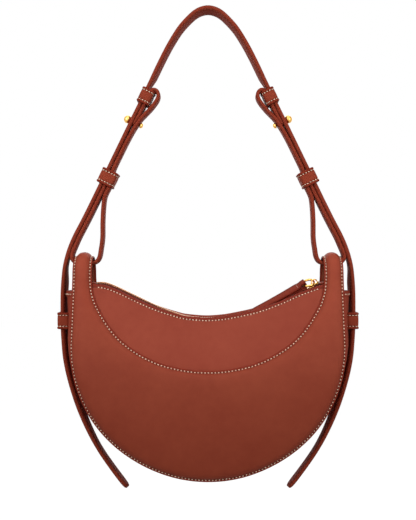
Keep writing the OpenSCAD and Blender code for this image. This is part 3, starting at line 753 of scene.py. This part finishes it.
finish(gusset_sheet("gusset_skin", 0, PANEL_T, PANEL_T + GAP, [PANEL_L, SUEDE], 1),
       "bag", "panel_leather", "gusset")
finish(gusset_sheet("gusset_lining_skin", 4.0, LINING_T, PANEL_T + GAP * 2 + LINING_T,
                    [LINING, LINING], 2), "bag", "lining", "gusset_lining")

# A hem's profile: height, inset, seam shade, rim shade
HEM = [(-4.6, -0.45, 0, 0.6), (-4.2, -0.75, 0, 0.3), (-2.5, -0.78, 0.2, 0.1), (-2.1, -0.62, 1, 0.1),
       (-1.7, -0.78, 0.2, 0.3), (0.6, -0.8, 0, 0.7), (1.2, -0.5, 0, 1), (1.45, 0.2, 0, 1),
       (1.5, 0.8, 0, 1), (1.45, 1.4, 0, 1), (1.2, 2.1, 0, 1), (0.6, 2.4, 0, 0.6),
       (-4.2, 2.4, 0, 0), (-4.6, 2.1, 0, 0.5)]


def hem(name, sign):
    """The gusset's top edge, bound in a folded strip of leather."""
    def at(y, h, inset):
        p = gusset_point(sign, y, inset, PANEL_T + GAP)
        return [p[0], p[1], GUSSET_TOP + h + 0.8]
    ys = np.linspace(-1, 1, 31)
    rings = [[at(y, h, inset) for h, inset, *_ in HEM] for y in ys]
    finish(loft(name + "_skin", to_world(rings), [PANEL_L], [HEM] * len(ys)),
           "bag", "panel_leather", name)
    line = [at(y, -2.1, -0.72) for y in ys]
    row = stitch_row(to_world(line), [[sign, 0, 0]] * len(ys), pitch=2.8)
    sew(name, [row], slot="panel_leather")


for tag, sign in SIDES:
    hem("gusset_hem_" + tag, sign)


# --- lining, pocket, facings
def layer(node_name, slot, side, xs, z_at, depths, mats, uneven=1):
    """A sheet inside a face, between two depths below it; z_at gives its heights at an x."""
    sheets = [], []
    for x in xs:
        z = z_at(x)
        d = half_depth(x, z) + uneven * dent(x, z, side)
        for sheet, depth in zip(sheets, depths(x, z)):
            sheet.append(points_at(x, -side * (d - depth), z))
    finish(sheet_grid(node_name + "_skin", sheets, mats), "bag", slot, node_name)


def pocket_depths(x, z):
    sag = 0.5 * np.sin(np.pi * (x + 55) / 110) * np.clip((z + 68) / 60, 0, 1) ** 2
    return 3.2 + sag, 4.2 + sag


LINING_R, LINING_TOP, FACING_W, FACING_T = 129.8, 13.8, 13.0, 1.2
for side in (1, -1):
    layer(face_name(side, "lining"), "lining", side, across(LINING_R, 61),
          lambda x: np.linspace(circle_z(LINING_R, x), mouth_z(x) - LINING_TOP, 13),
          lambda x, z: (2.0, 2.0 + LINING_T), [LINING, LINING])
layer("slip_pocket", "lining", -1, np.linspace(-55, 55, 29), lambda x: np.linspace(-68, -8, 17),
      pocket_depths, [SUEDE, PANEL_L])
for side in (1, -1):
    layer(face_name(side, "facing"), "panel_leather", side, across(123.9, 81),
          lambda x: mouth_z(x) - FACING_W * (1 - np.linspace(0, 0.985, 9)),
          lambda x, z: (2.0, 2.0 + FACING_T), [SUEDE, PANEL_L], uneven=0)

# --- zip
TAPE_EDGE = MOUTH - PANEL_T - 2 * GAP - FACING_T
TEETH_END = SLIDER_A - degrees(asin(4.6 / ZIP_R)) * 2
TOOTH_PITCH = 2.25


def zip_at(deg):
    x = ZIP_R * sin(radians(deg))
    return x, zip_z(x)


def zip_slope(deg):
    (x0, z0), (x1, z1) = zip_at(deg - 0.5), zip_at(deg + 0.5)
    return atan2(z1 - z0, x1 - x0)


def zip_point(deg, y, h, ahead=0.0):
    """A point beside the zip: y to the front, h above it and a little ahead along it."""
    (x, z), g = zip_at(deg), zip_slope(deg)
    c, sn = cos(g), sin(g)
    return [x + ahead * c - h * sn, -y, z + ahead * sn + h * c]


def tape(side):
    name = face_name(side, "zip_tape")
    rows = [(1.1, 0.1), (2.2, 0.05), (4.5, -0.3), (8, -1.5), (11.5, -3.1), (TAPE_EDGE, -4.5)]
    grids = [[[zip_point(a, side * y, h - low) for y, h in rows]
              for a in np.linspace(-ZIP_SPAN, ZIP_SPAN, 141)] for low in (0, 0.7)]
    o = sheet_grid(name + "_cloth", grids, [TAPE, TAPE])
    finish(o, "bag", "zip_tape", name)
    face_name(side, "teeth_part")
    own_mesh(o)


def teeth(side):
    """A row of single teeth: each a clamp round the tape's edge and a head with a rounded nose."""
    name = face_name(side, "teeth")
    nose = [(0.3, 3.0), (0.52, 2.7), (0.52, 1.5), (0.4, 0.9), (0.56, 0.1), (0.4, -0.75)]
    outline = [(-0.3, 3.0)] + nose + [(0, -1.0)] + mirrored(nose[1:])
    levels = [(-1.0, 0.72), (-0.8, 1.0), (1.0, 1.0), (1.3, 0.62)]
    span = TEETH_END + ZIP_SPAN
    n = int(radians(span) * ZIP_R / TOOTH_PITCH)
    places = [-ZIP_SPAN + span * (i + (0.5 if side > 0 else 1)) / n for i in range(n)]
    row = [[zip_point(a, side * (y * (k if y < 0 else 1) + 0.15), h, x * k)
            for h, k in levels for x, y in outline] for a in places]
    o = copies(name + "_metal", to_world(row), len(outline), TEETH_METAL, rounded=False)
    finish(o, name, "brass", name)


def zip_end(name, sign):
    rings = []
    for d in np.linspace(ZIP_SPAN + 0.15, ZIP_SPAN + 1.7, 9):
        e = 1 - 0.12 * abs((d - ZIP_SPAN - 0.92) / 0.78) ** 6
        rings.append([zip_point(sign * d, y * e, h * e) for y, h in oval(28, 8, 1.2, 0.35, 0.6)])
    finish(loft(name + "_skin", to_world(rings), [PANEL_L]), "bag", "panel_leather", name)


for build in (tape, teeth):
    for side in (1, -1):
        build(side)
for tag, sign in SIDES:
    zip_end("zip_end_" + tag, sign)

# Slider, ring and tab are drawn in their own frames, with +X along the zip. The ring lies on the
# slider's bridge and the tab hangs from it onto the teeth; both are rolled forwards
SLIDER_X, SLIDER_Z = zip_at(SLIDER_A)
BAR_X, BAR_H, EYE_X = 2.5, 4.55, 10.32


def turned(deg, axis):
    return Matrix.Rotation(radians(deg), 4, axis)


def frame_at(x, z, deg):
    """A frame in millimetres at a place, turned about Y."""
    return Matrix.Translation((x * MM, 0, z * MM)) @ turned(deg, "Y") @ Matrix.Scale(MM, 4)


AT_SLIDER = frame_at(SLIDER_X, SLIDER_Z - DROP, -SLIDER_A)
AT_RING = AT_SLIDER @ Matrix.Translation((BAR_X, 0, BAR_H)) @ turned(200, "Y")
AT_TAB = AT_RING @ Matrix.Translation((EYE_X, 0, 0)) @ turned(-15.5, "Y") @ turned(-26, "X")


def plate(outline, z0, z1, bevel):
    """A brass plate of the slider: an outline from z0 to z1 with rounded edges."""
    p = np.array(outline)
    d = unit(np.roll(p, -1, 0) - np.roll(p, 1, 0))
    nrm = np.stack([d[:, 1], -d[:, 0]], 1)
    if ((p - p.mean(0)) * nrm).sum() < 0:
        nrm = -nrm
    steps = []
    for k in range(4):
        a = pi / 6 * k
        steps.append((bevel * (1 - sin(a)), z0 + bevel * (1 - cos(a))))
    steps += [(i, z0 + z1 - z) for i, z in reversed(steps)]
    rings = [placed(AT_SLIDER, [(x, y, z) for x, y in p - nrm * i]) for i, z in steps]
    return loft("slider_plate", rings, [BRASS])


def slider():
    length, w_back, w_front = 14.0, 7.6, 10.2
    body = [(x, y * lerp(w_back, w_front, x / length + 0.5))
            for x, y in oval(40, length / 2, 0.5, 0.7, 0.62)]
    parts = [plate(body, 1.35, 2.75, 0.45), plate(body, -2.75, -1.35, 0.45)]
    for s in (-1, 1):
        lip = [(x, s * 3.7) for x in (-6, -2, 2)] + [(x, s * 4.25) for x in (2, -2, -6)]
        parts.append(plate(lip, 0.8, 1.6, 0.15))
    parts.append(plate([(3.0, -0.5), (6.0, -0.45), (6.0, 0.45), (3.0, 0.5)], -1.5, 1.5, 0.12))
    bridge = curve([(-0.8, 2.3), (-0.75, 3.5), (-0.35, 4.7), (0.5, 5.8), (1.6, 6.45), (2.9, 6.65),
                    (4.2, 6.3), (5.2, 5.4), (5.5, 4.0), (5.5, 2.3)], 4)
    section = oval(16, 1.5, 0.62, 0.7, 0.7)
    rings = [placed(AT_SLIDER, [(x + nx * h, y, z + nz * h) for y, h in section])
             for (x, z), (nx, nz) in zip(bridge, normals(bridge))]
    parts.append(loft("slider_bridge", rings, [BRASS]))
    finish(join(parts, "slider_metal"), "slider", "brass", "zip_slider")


def pull_ring():
    """An oval of round brass wire."""
    path = np.array(placed(AT_RING @ turned(-30, "X"),
                           [(5.15 + x, y, 0) for x, y in oval(72, 5.2, 5.8, 0.88, 0.88)]))
    t = unit(np.roll(path, -1, 0) - np.roll(path, 1, 0))
    u = np.cross([0.0, 1.0, 0.0], t[0])
    rings = []
    for p, d in zip(path, t):
        u = unit(u - d * (u @ d))
        v = np.cross(d, u)
        rings.append([p + (x * u + y * v) * MM for x, y in oval(16, 1.15, 1.15)])
    finish(loft("pull_ring_metal", rings, [BRASS], cyclic=True), "ring", "brass", "pull_ring")


def pull_tab():
    """Leather folded round the ring, its two layers stitched together below the neck."""
    length, neck, wide, t = 62.0, 4.2, 6.1, 1.15
    rows = []
    for f in np.linspace(0, 1, 61):
        x = -1.9 + (length + 1.9) * f
        w = lerp(neck, wide, smooth(2, 9, x))
        if x > 10:
            w = wide - 1.6 * ((x - 10) / 52) ** 1.4
        if x > 54:
            w *= sqrt(max(0.0, 1 - ((x - 54) / 8.05) ** 2)) * 0.96 + 0.04
        half = 1.5 + 1.3 * exp(-(max(0, x - 1.5) / 2.6) ** 2)
        rows.append((x, w, half, 0.9 * sin(pi * f) - 0.25))
    layers, sewn = [], []
    for up in (1, -1):
        rings, profs = [], []
        for x, w, half, bend in rows:
            mid = bend + up * (half - t / 2 + 0.12)
            e = min(t / 2, w * 0.45) * 0.3
            prof = [(-w + e, -t / 2, 0, 1), (-w, 0, 0, 1), (-w + e, t / 2, 0, 1),
                    (-w + 0.9, t / 2, 0.1, 0.6), (-w + 1.25, t / 2 - 0.12, 0.8, 0.2),
                    (-w + 1.6, t / 2, 0.1, 0.1), (-w * 0.3, t / 2 + 0.1, 0, 0)]
            prof += mirrored(prof) + [(w * 0.3, -t / 2, 0, 0), (-w * 0.3, -t / 2, 0, 0)]
            if w < 1.7:
                prof = [(y * w / 1.7 if abs(y) > w else y, *rest) for y, *rest in prof]
            rings.append(placed(AT_TAB, [(x, y, mid + up * h) for y, h, *_ in prof]))
            profs.append(prof)
        layers.append(loft("tab_layer", rings, [STRAP_L], profs))
        _, _, half, bend = rows[8]
        line = placed(AT_TAB, [(7.2, y, bend + up * (half + 0.1)) for y in (-3.8, -1.3, 1.3, 3.8)])
        away = (AT_TAB.to_3x3() @ Vector((0, 0, up))).normalized()
        sewn.append(stitch_row(line, [tuple(away)] * 4, pitch=1.9, length=1.5, width=0.7, high=0.3))
    finish(join(layers, "pull_tab_leather"), "tab", "strap_leather", "pull_tab")
    sew("tab", sewn, "tab")
    # the fold that holds the ring
    rings = []
    for a in np.radians(np.linspace(75, 285, 25)):
        c, sn = cos(a), sin(a)
        rings.append(placed(AT_TAB, [(0.6 + (2.35 + r) * c, y, (2.35 + r) * sn - 0.2)
                                     for y, r in oval(12, neck, 0.58, 0.4, 0.8)]))
    finish(loft("tab_fold", rings, [STRAP_L]), "tab", "strap_leather")


slider()
pull_ring()
pull_tab()

# --- straps, drawn on the left side
# Routes over the bag, as shares of SIDE_X and of the hinge's depth
SHOULDER = [(0, 0.0073), (-0.054, 0.0011), (-0.098, -0.0127), (-0.143, -0.0357), (-0.177, -0.056),
            (-0.208, -0.078), (-0.259, -0.123), (-0.306, -0.171), (-0.356, -0.227),
            (-0.4075, -0.2867), (-0.483, -0.3724)]
STRAIGHT = [(-0.4075, -0.2867), (-0.803, -0.7327)]
ARM_SIDE = [(-0.8605, -0.7956), (-0.915, -0.8525), (-0.9544, -0.9047), (-0.9796, -0.955),
            (-0.992, -1)]
UPPER_LOOP = [(-0.388, -0.301), (-0.3646, -0.3), (-0.3463, -0.3075), (-0.3395, -0.3202),
              (-0.3483, -0.3369), (-0.3714, -0.3552), (-0.4028, -0.376)]
INNER_LEG = [(-0.719, -0.7323), (-0.7235, -0.7632), (-0.7265, -0.8079), (-0.7265, -0.8526),
             (-0.7327, -0.8861), (-0.7388, -0.9047)]
# The tail beside and below the bag, as shares of the body's radius
TAIL = [(-1.0885, 0.385), (-1.0896, 0.26), (-1.0889, 0.13), (-1.083, 0.015), (-1.0726, -0.104),
        (-1.0504, -0.222), (-1.0185, -0.341), (-0.98, -0.459), (-0.9333, -0.574),
        (-0.8756, -0.693), (-0.8074, -0.811), (-0.7259, -0.93), (-0.637, -1.048),
        (-0.6037, -1.087)]
# The loop strap beside the straight run: shares along it, and its distance in lays
BESIDE = [(0.22, 2.0), (0.258, 1.62), (0.3, 1.43), (0.34, 1.27), (0.39, 1.15), (0.47, 1.07),
          (0.55, 1.06), (0.66, 1.06), (0.7, 1.16), (0.735, 1.52), (0.775, 1.94), (0.83, 2.04),
          (0.9, 2.04)]
# The tongue is pared thin where the stud holds it: shares along the run and of the thickness
TONGUE = [(0.325, 0.4), (0.29, 0.56), (0.25, 0.78), (0.215, 0.98)]


def route(points):
    return [np.array([x * SIDE_X, z * -HINGE]) for x, z in points]


A, B = route(STRAIGHT)
STRAIGHT_D = unit(B - A)
STRAIGHT_N = np.array([-STRAIGHT_D[1], STRAIGHT_D[0]])


def laid(s, d):
    """A point beside the straight run: its share along it and its distance from it."""
    return lerp(A, B, s) + d * STRAIGHT_N


def strap_profile(w, t):
    """Round edges with a row of stitching beside each: y, height, seam shade, rim shade."""
    h, g = t / 2, w / 2 - EDGE_SEWN
    right = []
    for k in range(9):
        a = -pi / 2 + pi * k / 8
        right.append((w / 2 - h + h * cos(a), h * sin(a), 0, 0))
    right += [(g + 0.45, h, 0.15, 0.1), (g, h - 0.2, 1.0, 0), (g - 0.45, h, 0.15, 0),
              (g * 0.55, h + 0.03, 0, 0), (0, h + 0.05, 0, 0)]
    low = [(-g - 0.45, -h, 0.15, 0.1), (-g, -h + 0.2, 1.0, 0), (-g + 0.45, -h, 0.15, 0),
           (-g * 0.5, -h, 0, 0), (0, -h, 0, 0)]
    return right + mirrored(right[:-1]) + low + mirrored(low[:-1])


def strap(name, pts, full, width, tip, pared=((0,), (1,)), lean=lambda p: 0.0):
    """A strap along a route in the x-z plane, with its rows of stitches.

    width and lean depend on the place; tip is the length of its pointed ends; pared is the
    thickness's share over the run.
    """
    p = soften(curve(pts), 2)
    d = run_of(p)
    s = np.linspace(0, d[-1], int(d[-1] / 1.6) + 1)
    p = soften(along(s, d, p), 3)
    rings, profs = [], []
    lines = {(u, v): ([], []) for u in (-1, 1) for v in (-1, 1)}
    for (px, pz), (nx, nz), run in zip(p, normals(p), s):
        w = width((px, pz))
        for pointed, dist in zip(tip, (run, s[-1] - run)):
            if dist < pointed:
                w *= sqrt(max(0.0, 1 - (1 - dist / pointed) ** 2.2)) * 0.72 + 0.28
        t = full * np.interp(run, *pared)
        tilt = lean((px, pz)) / w

        def at(y, h):
            h += tilt * (y + w / 2)
            return px + nx * h, y, pz + nz * h
        prof = strap_profile(w, t)
        rings.append([at(y, h) for y, h, *_ in prof])
        profs.append(prof)
        for (u, v), (line, ups) in lines.items():
            line.append(at(u * (w / 2 - EDGE_SEWN), v * (t / 2 - 0.08)))
            ups.append((nx * v, 0, nz * v))
    edge = [1 if 1 <= k <= 6 or 18 <= k <= 23 else 0 for k in range(len(rings[0]))]
    o = loft(name, np.array(rings) * MM, [STRAP_L, STRAP_RIM], profs, edge)
    rows = [stitch_row(np.array(line[5:-5]) * MM, ups[5:-5], pitch=3.1, length=2.0, width=1.0,
                       high=0.3, sink=0.2) for line, ups in lines.values()]
    return o, stitches(name + "_stitches", rows, STRAP_THREAD)


half = route(SHOULDER) + [laid(k, 0) for k in (0.25, 0.5, 0.75, 1)] + route(ARM_SIDE)
tail = [np.array([x * BODY_R, z * BODY_R - DROP]) for x, z in TAIL]
whole = [p * (-1, 1) for p in (half + tail)[::-1]] + (half + tail)[1:]


def shoulder_width(p):
    return lerp(STRAP_W, SHOULDER_W, smooth(-78, -60, p[1]))


def shoulder_lean(p):
    """The back edge leans inwards over the shoulder, and again along the tails."""
    z = p[1]
    tails = smooth(256, 278, -z) * smooth(-450, -395, z)
    return 1.7 * smooth(-79, -66, z) + 2.4 * tails


main_strap, main_rows = strap("shoulder_strap_leather", whole, STRAP_T, shoulder_width, (11, 11),
                              lean=shoulder_lean)
for o in (main_strap, main_rows):
    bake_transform(o)
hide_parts("shoulder_strap", "tail_left", "tail_right")

# The loop straps: from the stud through the loop, down, under the arch and up again outside
leg_in_x = -(ARM_IN - GAP * 2 - LOOP_T / 2 - 1.5)
leg_out_x = -(ARM_OUT + GAP * 2 + LOOP_T / 2 + 1.5)
inner = [laid(s, STRAP_T / 2 + GAP + LOOP_T * t / 2) for s, t in TONGUE]
inner += [laid(s, LAY) for s in (0.17, 0.12, 0.05)] + route(UPPER_LOOP)
inner += [laid(s, LAY * d) for s, d in BESIDE] + route(INNER_LEG)
under = [(leg_in_x + 0.6, 19.5), (leg_in_x - 1.6, 14.8), (leg_in_x - 5.5, 12.4),
         (leg_in_x - 13.7, 12.0), (leg_out_x + 5.5, 12.4), (leg_out_x + 1.6, 14.8),
         (leg_out_x - 0.4, 19.5)]
half_curve = curve(half, 6)
outer_leg = [p for p in half_curve + LAY * normals(half_curve)
             if laid(0.82, LAY)[1] > p[1] > HINGE + 28]
loop_route = inner + [np.array([x, HINGE + h]) for x, h in under] + outer_leg[::-4]
loop_route.append(laid(0.768, LAY))
pared_run = [(TONGUE[0][0] - s) * np.linalg.norm(B - A) for s, _ in TONGUE]
for tag, sign in SIDES:
    o, rows = strap("loop_strap_%s_leather" % tag, [p * (-sign, 1) for p in loop_route], LOOP_T,
                    lambda p: STRAP_W - 0.3, (3, 0),
                    (pared_run + [pared_run[-1] + 3], [t for _, t in TONGUE] + [1]))
    finish(o, "strap", "strap_leather", "loop_strap_" + tag)
    finish(rows, "strap", "strap_leather")


# --- keepers
def round_corners(a, b, r, step):
    """A rounded rectangle of half sizes a and b as evenly spaced points with outward normals."""
    rows = []
    a, b = a - r, b - r
    for cx, cy, a0 in ((a, b, 0), (-a, b, 90), (-a, -b, 180), (a, -b, 270)):
        for k in range(9):
            q = radians(a0 + 90 * k / 8)
            rows.append((cx + r * cos(q), cy + r * sin(q), cos(q), sin(q)))
    both = np.array(rows + rows[:1])
    d = run_of(both[:, :2])
    both = along(np.linspace(0, d[-1], int(d[-1] / step), endpoint=False), d, both)
    return both[:, :2], unit(both[:, 2:])


def keeper(node_name, body, centre, tilt, span, length):
    """A band of leather with rolled rims, sewn along both, round a stack of straps."""
    name = node_name + "_band"
    h, sewn = length / 2, 2.85
    lip = [(0.75, 0.0, 0, 0.9), (0.2, 0.3, 0, 1), (0, 0.9, 0, 1), (0.08, 1.5, 0, 1),
           (0.4, 2.0, 0, 0.9), (0.9, 2.27, 0, 0.65), (1.5, 2.3, 0, 0.45), (2.05, 2.12, 0.1, 0.5),
           (2.45, 1.86, 0.55, 0.6), (sewn, 1.66, 1, 0.6), (3.25, 1.74, 0.5, 0.5),
           (3.8, 1.88, 0, 0.25), (4.8, 1.96, 0, 0), (h * 0.82, 2.0, 0, 0)]
    prof = [(l - h, *rest) for l, *rest in lip]
    prof += mirrored(prof)
    c, sn = cos(tilt), sin(tilt)
    axes = np.array([[c, 0, -sn], [0, 1, 0], [sn, 0, c]])
    rings = []
    lines = ([], []), ([], [])
    path, outward = round_corners(span / 2 + KEEPER_GAP, STRAP_W / 2 + KEEPER_GAP, 1.3, 0.6)
    for (px, py), (nx, ny) in zip(path, outward):
        def at(l, out):
            return centre + np.array([px + nx * out, py + ny * out, l]) @ axes
        rings.append([at(l, out) for l, out, *_ in prof])
        for (line, ups), k in zip(lines, (1, -1)):
            line.append(at(k * (h - sewn), 1.76))
            ups.append(np.array([nx, ny, 0]) @ axes)
    o = loft(name, np.array(rings) * MM, [KEEPER_LEATHER], [prof] * len(rings), cyclic=True)
    finish(o, body, "strap_leather", node_name)
    rows = [stitch_row(np.array(line) * MM, ups, closed=True, pitch=3.0, length=2.0, width=1.05,
                       high=0.36) for line, ups in lines]
    sew(name, rows, body)


TILT = atan2(STRAIGHT_D[0], STRAIGHT_D[1])
TWO = STRAP_T + GAP + LOOP_T  # the thickness of a stack of two straps
THREE = TWO + GAP + LOOP_T
for tag, sign in SIDES:
    for level, at, span, out in (("lower", 0.763, THREE, 0.9), ("upper", 0.082, TWO, 0.1)):
        x, z = laid(at, (span - STRAP_T) / 2 + 0.175 - out)
        name = "%s_keeper_%s" % (level, tag)
        keeper(name, name, (-sign * x, 0, z), -sign * TILT, span + 0.35, KEEPER_L)
    centre = (sign * (SIDE_KEEPER_X - 1.4), 0, 22.4 - DROP)
    keeper("side_keeper_" + tag, "bag", centre, 0.0, STRAP_T + 3.6, KEEPER_L + 0.8)


# --- studs
def lathe(node_name, profile, at):
    """A brass profile of (radius, height) turned round the local Z axis, in millimetres."""
    rings = [placed(at, [(x, y, h) for x, y in oval(36, r, r)]) for r, h in profile]
    finish(loft(node_name + "_metal", rings, [BRASS]), "strap", "brass", node_name)


FACE_OUT = STRAP_T / 2 + 0.15  # from the strap's middle to the ball's collar
FACE_IN = LAY * 1.725 + LOOP_T / 2 + 0.2  # and to the dome on the inner side
ball = [(0.01, 0.2), (2.6, 0), (2.85, 0.25), (2.6, 0.5), (1.5, 0.7), (1.35, 1.0)]
for k in range(1, 25):
    a = pi * (0.88 * k / 24 - 0.38)
    ball.append((max(0.01, BALL_R * cos(a)), 0.9 + BALL_R * (0.5 + sin(a) * 0.98)))
post = [(1.6, FACE_OUT), (1.6, -FACE_IN), (2.9, -FACE_IN), (3.0, -FACE_IN - 0.3)]
post += [(2.9 * cos(a), -FACE_IN - 0.35 - 2.4 * sin(a))
         for a in np.linspace(0.1, pi / 2 - 0.01, 9)]
for tag, sign in SIDES:
    x, z = laid(0.294, 0)
    at = frame_at(-sign * x, z, -sign * degrees(atan2(STRAIGHT_D[1], -STRAIGHT_D[0])))
    lathe("stud_ball_" + tag, [(r, FACE_OUT + h) for r, h in ball], at)
    lathe("stud_post_" + tag, post, at)

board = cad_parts["base_board"]
board.data.materials.clear()
board.data.materials.append(BOARD)


# --- floor and light
def seen(t):
    """1 for what the camera, gloss and glass see, and 0 for the light on the bag."""
    rays = node(t, "LightPath").outputs
    straight = calc(t, "MAXIMUM", rays["Is Camera Ray"], rays["Is Glossy Ray"])
    return calc(t, "MAXIMUM", straight, rays["Is Transmission Ray"])


def mix_shader(t, share, a, b):
    return node(t, "MixShader", (), {0: share, 1: a.outputs[0], 2: b.outputs[0]}).outputs[0]


bpy.ops.mesh.primitive_plane_add(size=12, location=(0, 0, -0.75))
floor = bpy.context.active_object
floor.name = "floor"
m = bpy.data.materials.new("floor")
t = cleared(m)
node(t, "OutputMaterial", Surface=mix_shader(
    t, calc(t, "MULTIPLY", seen(t), 0.85),
    node(t, "BsdfDiffuse", Color=(0.55, 0.54, 0.53, 1)),
    node(t, "Emission", Color=(1, 1, 1, 1), Strength=1.16)))
floor.data.materials.append(m)

world = bpy.data.worlds.new("studio")
scene.world = world
t = cleared(world)
node(t, "OutputWorld", Surface=mix_shader(
    t, seen(t), node(t, "Background", Color=(1, 0.985, 0.97, 1), Strength=0.17),
    node(t, "Background", Color=(1, 1, 1, 1), Strength=1.0)))


def area(name, loc, aim, size, power, colour=(1, 1, 1)):
    """A light that looks at the height aim on the bag's middle line."""
    d = bpy.data.lights.new(name, "AREA")
    d.shape = "RECTANGLE"
    d.size, d.size_y = size
    d.energy = power
    d.color = colour
    o = add_object(name, d)
    o.location = loc
    o.rotation_euler = (Vector((0, 0, aim)) - Vector(loc)).to_track_quat("-Z", "Y").to_euler()


area("top", (0, -0.35, 0.75), -0.3, (1.0, 0.6), 3.5, (1, 0.98, 0.95))
area("front", (-0.5, -1.7, 0.3), -0.3, (1.4, 1.4), 5)
area("back", (0, 1.25, 0.25), -0.3, (1.4, 1.2), 11)
for tag, sign in SIDES:
    area(tag, (sign * 0.38, -0.42, -0.06), -0.24, (0.36, 0.45), 1.8, (1, 0.99, 0.97))

view = scene.view_settings
view.view_transform = "Standard"
view.look = "None"
view.exposure = 0
view.gamma = 1
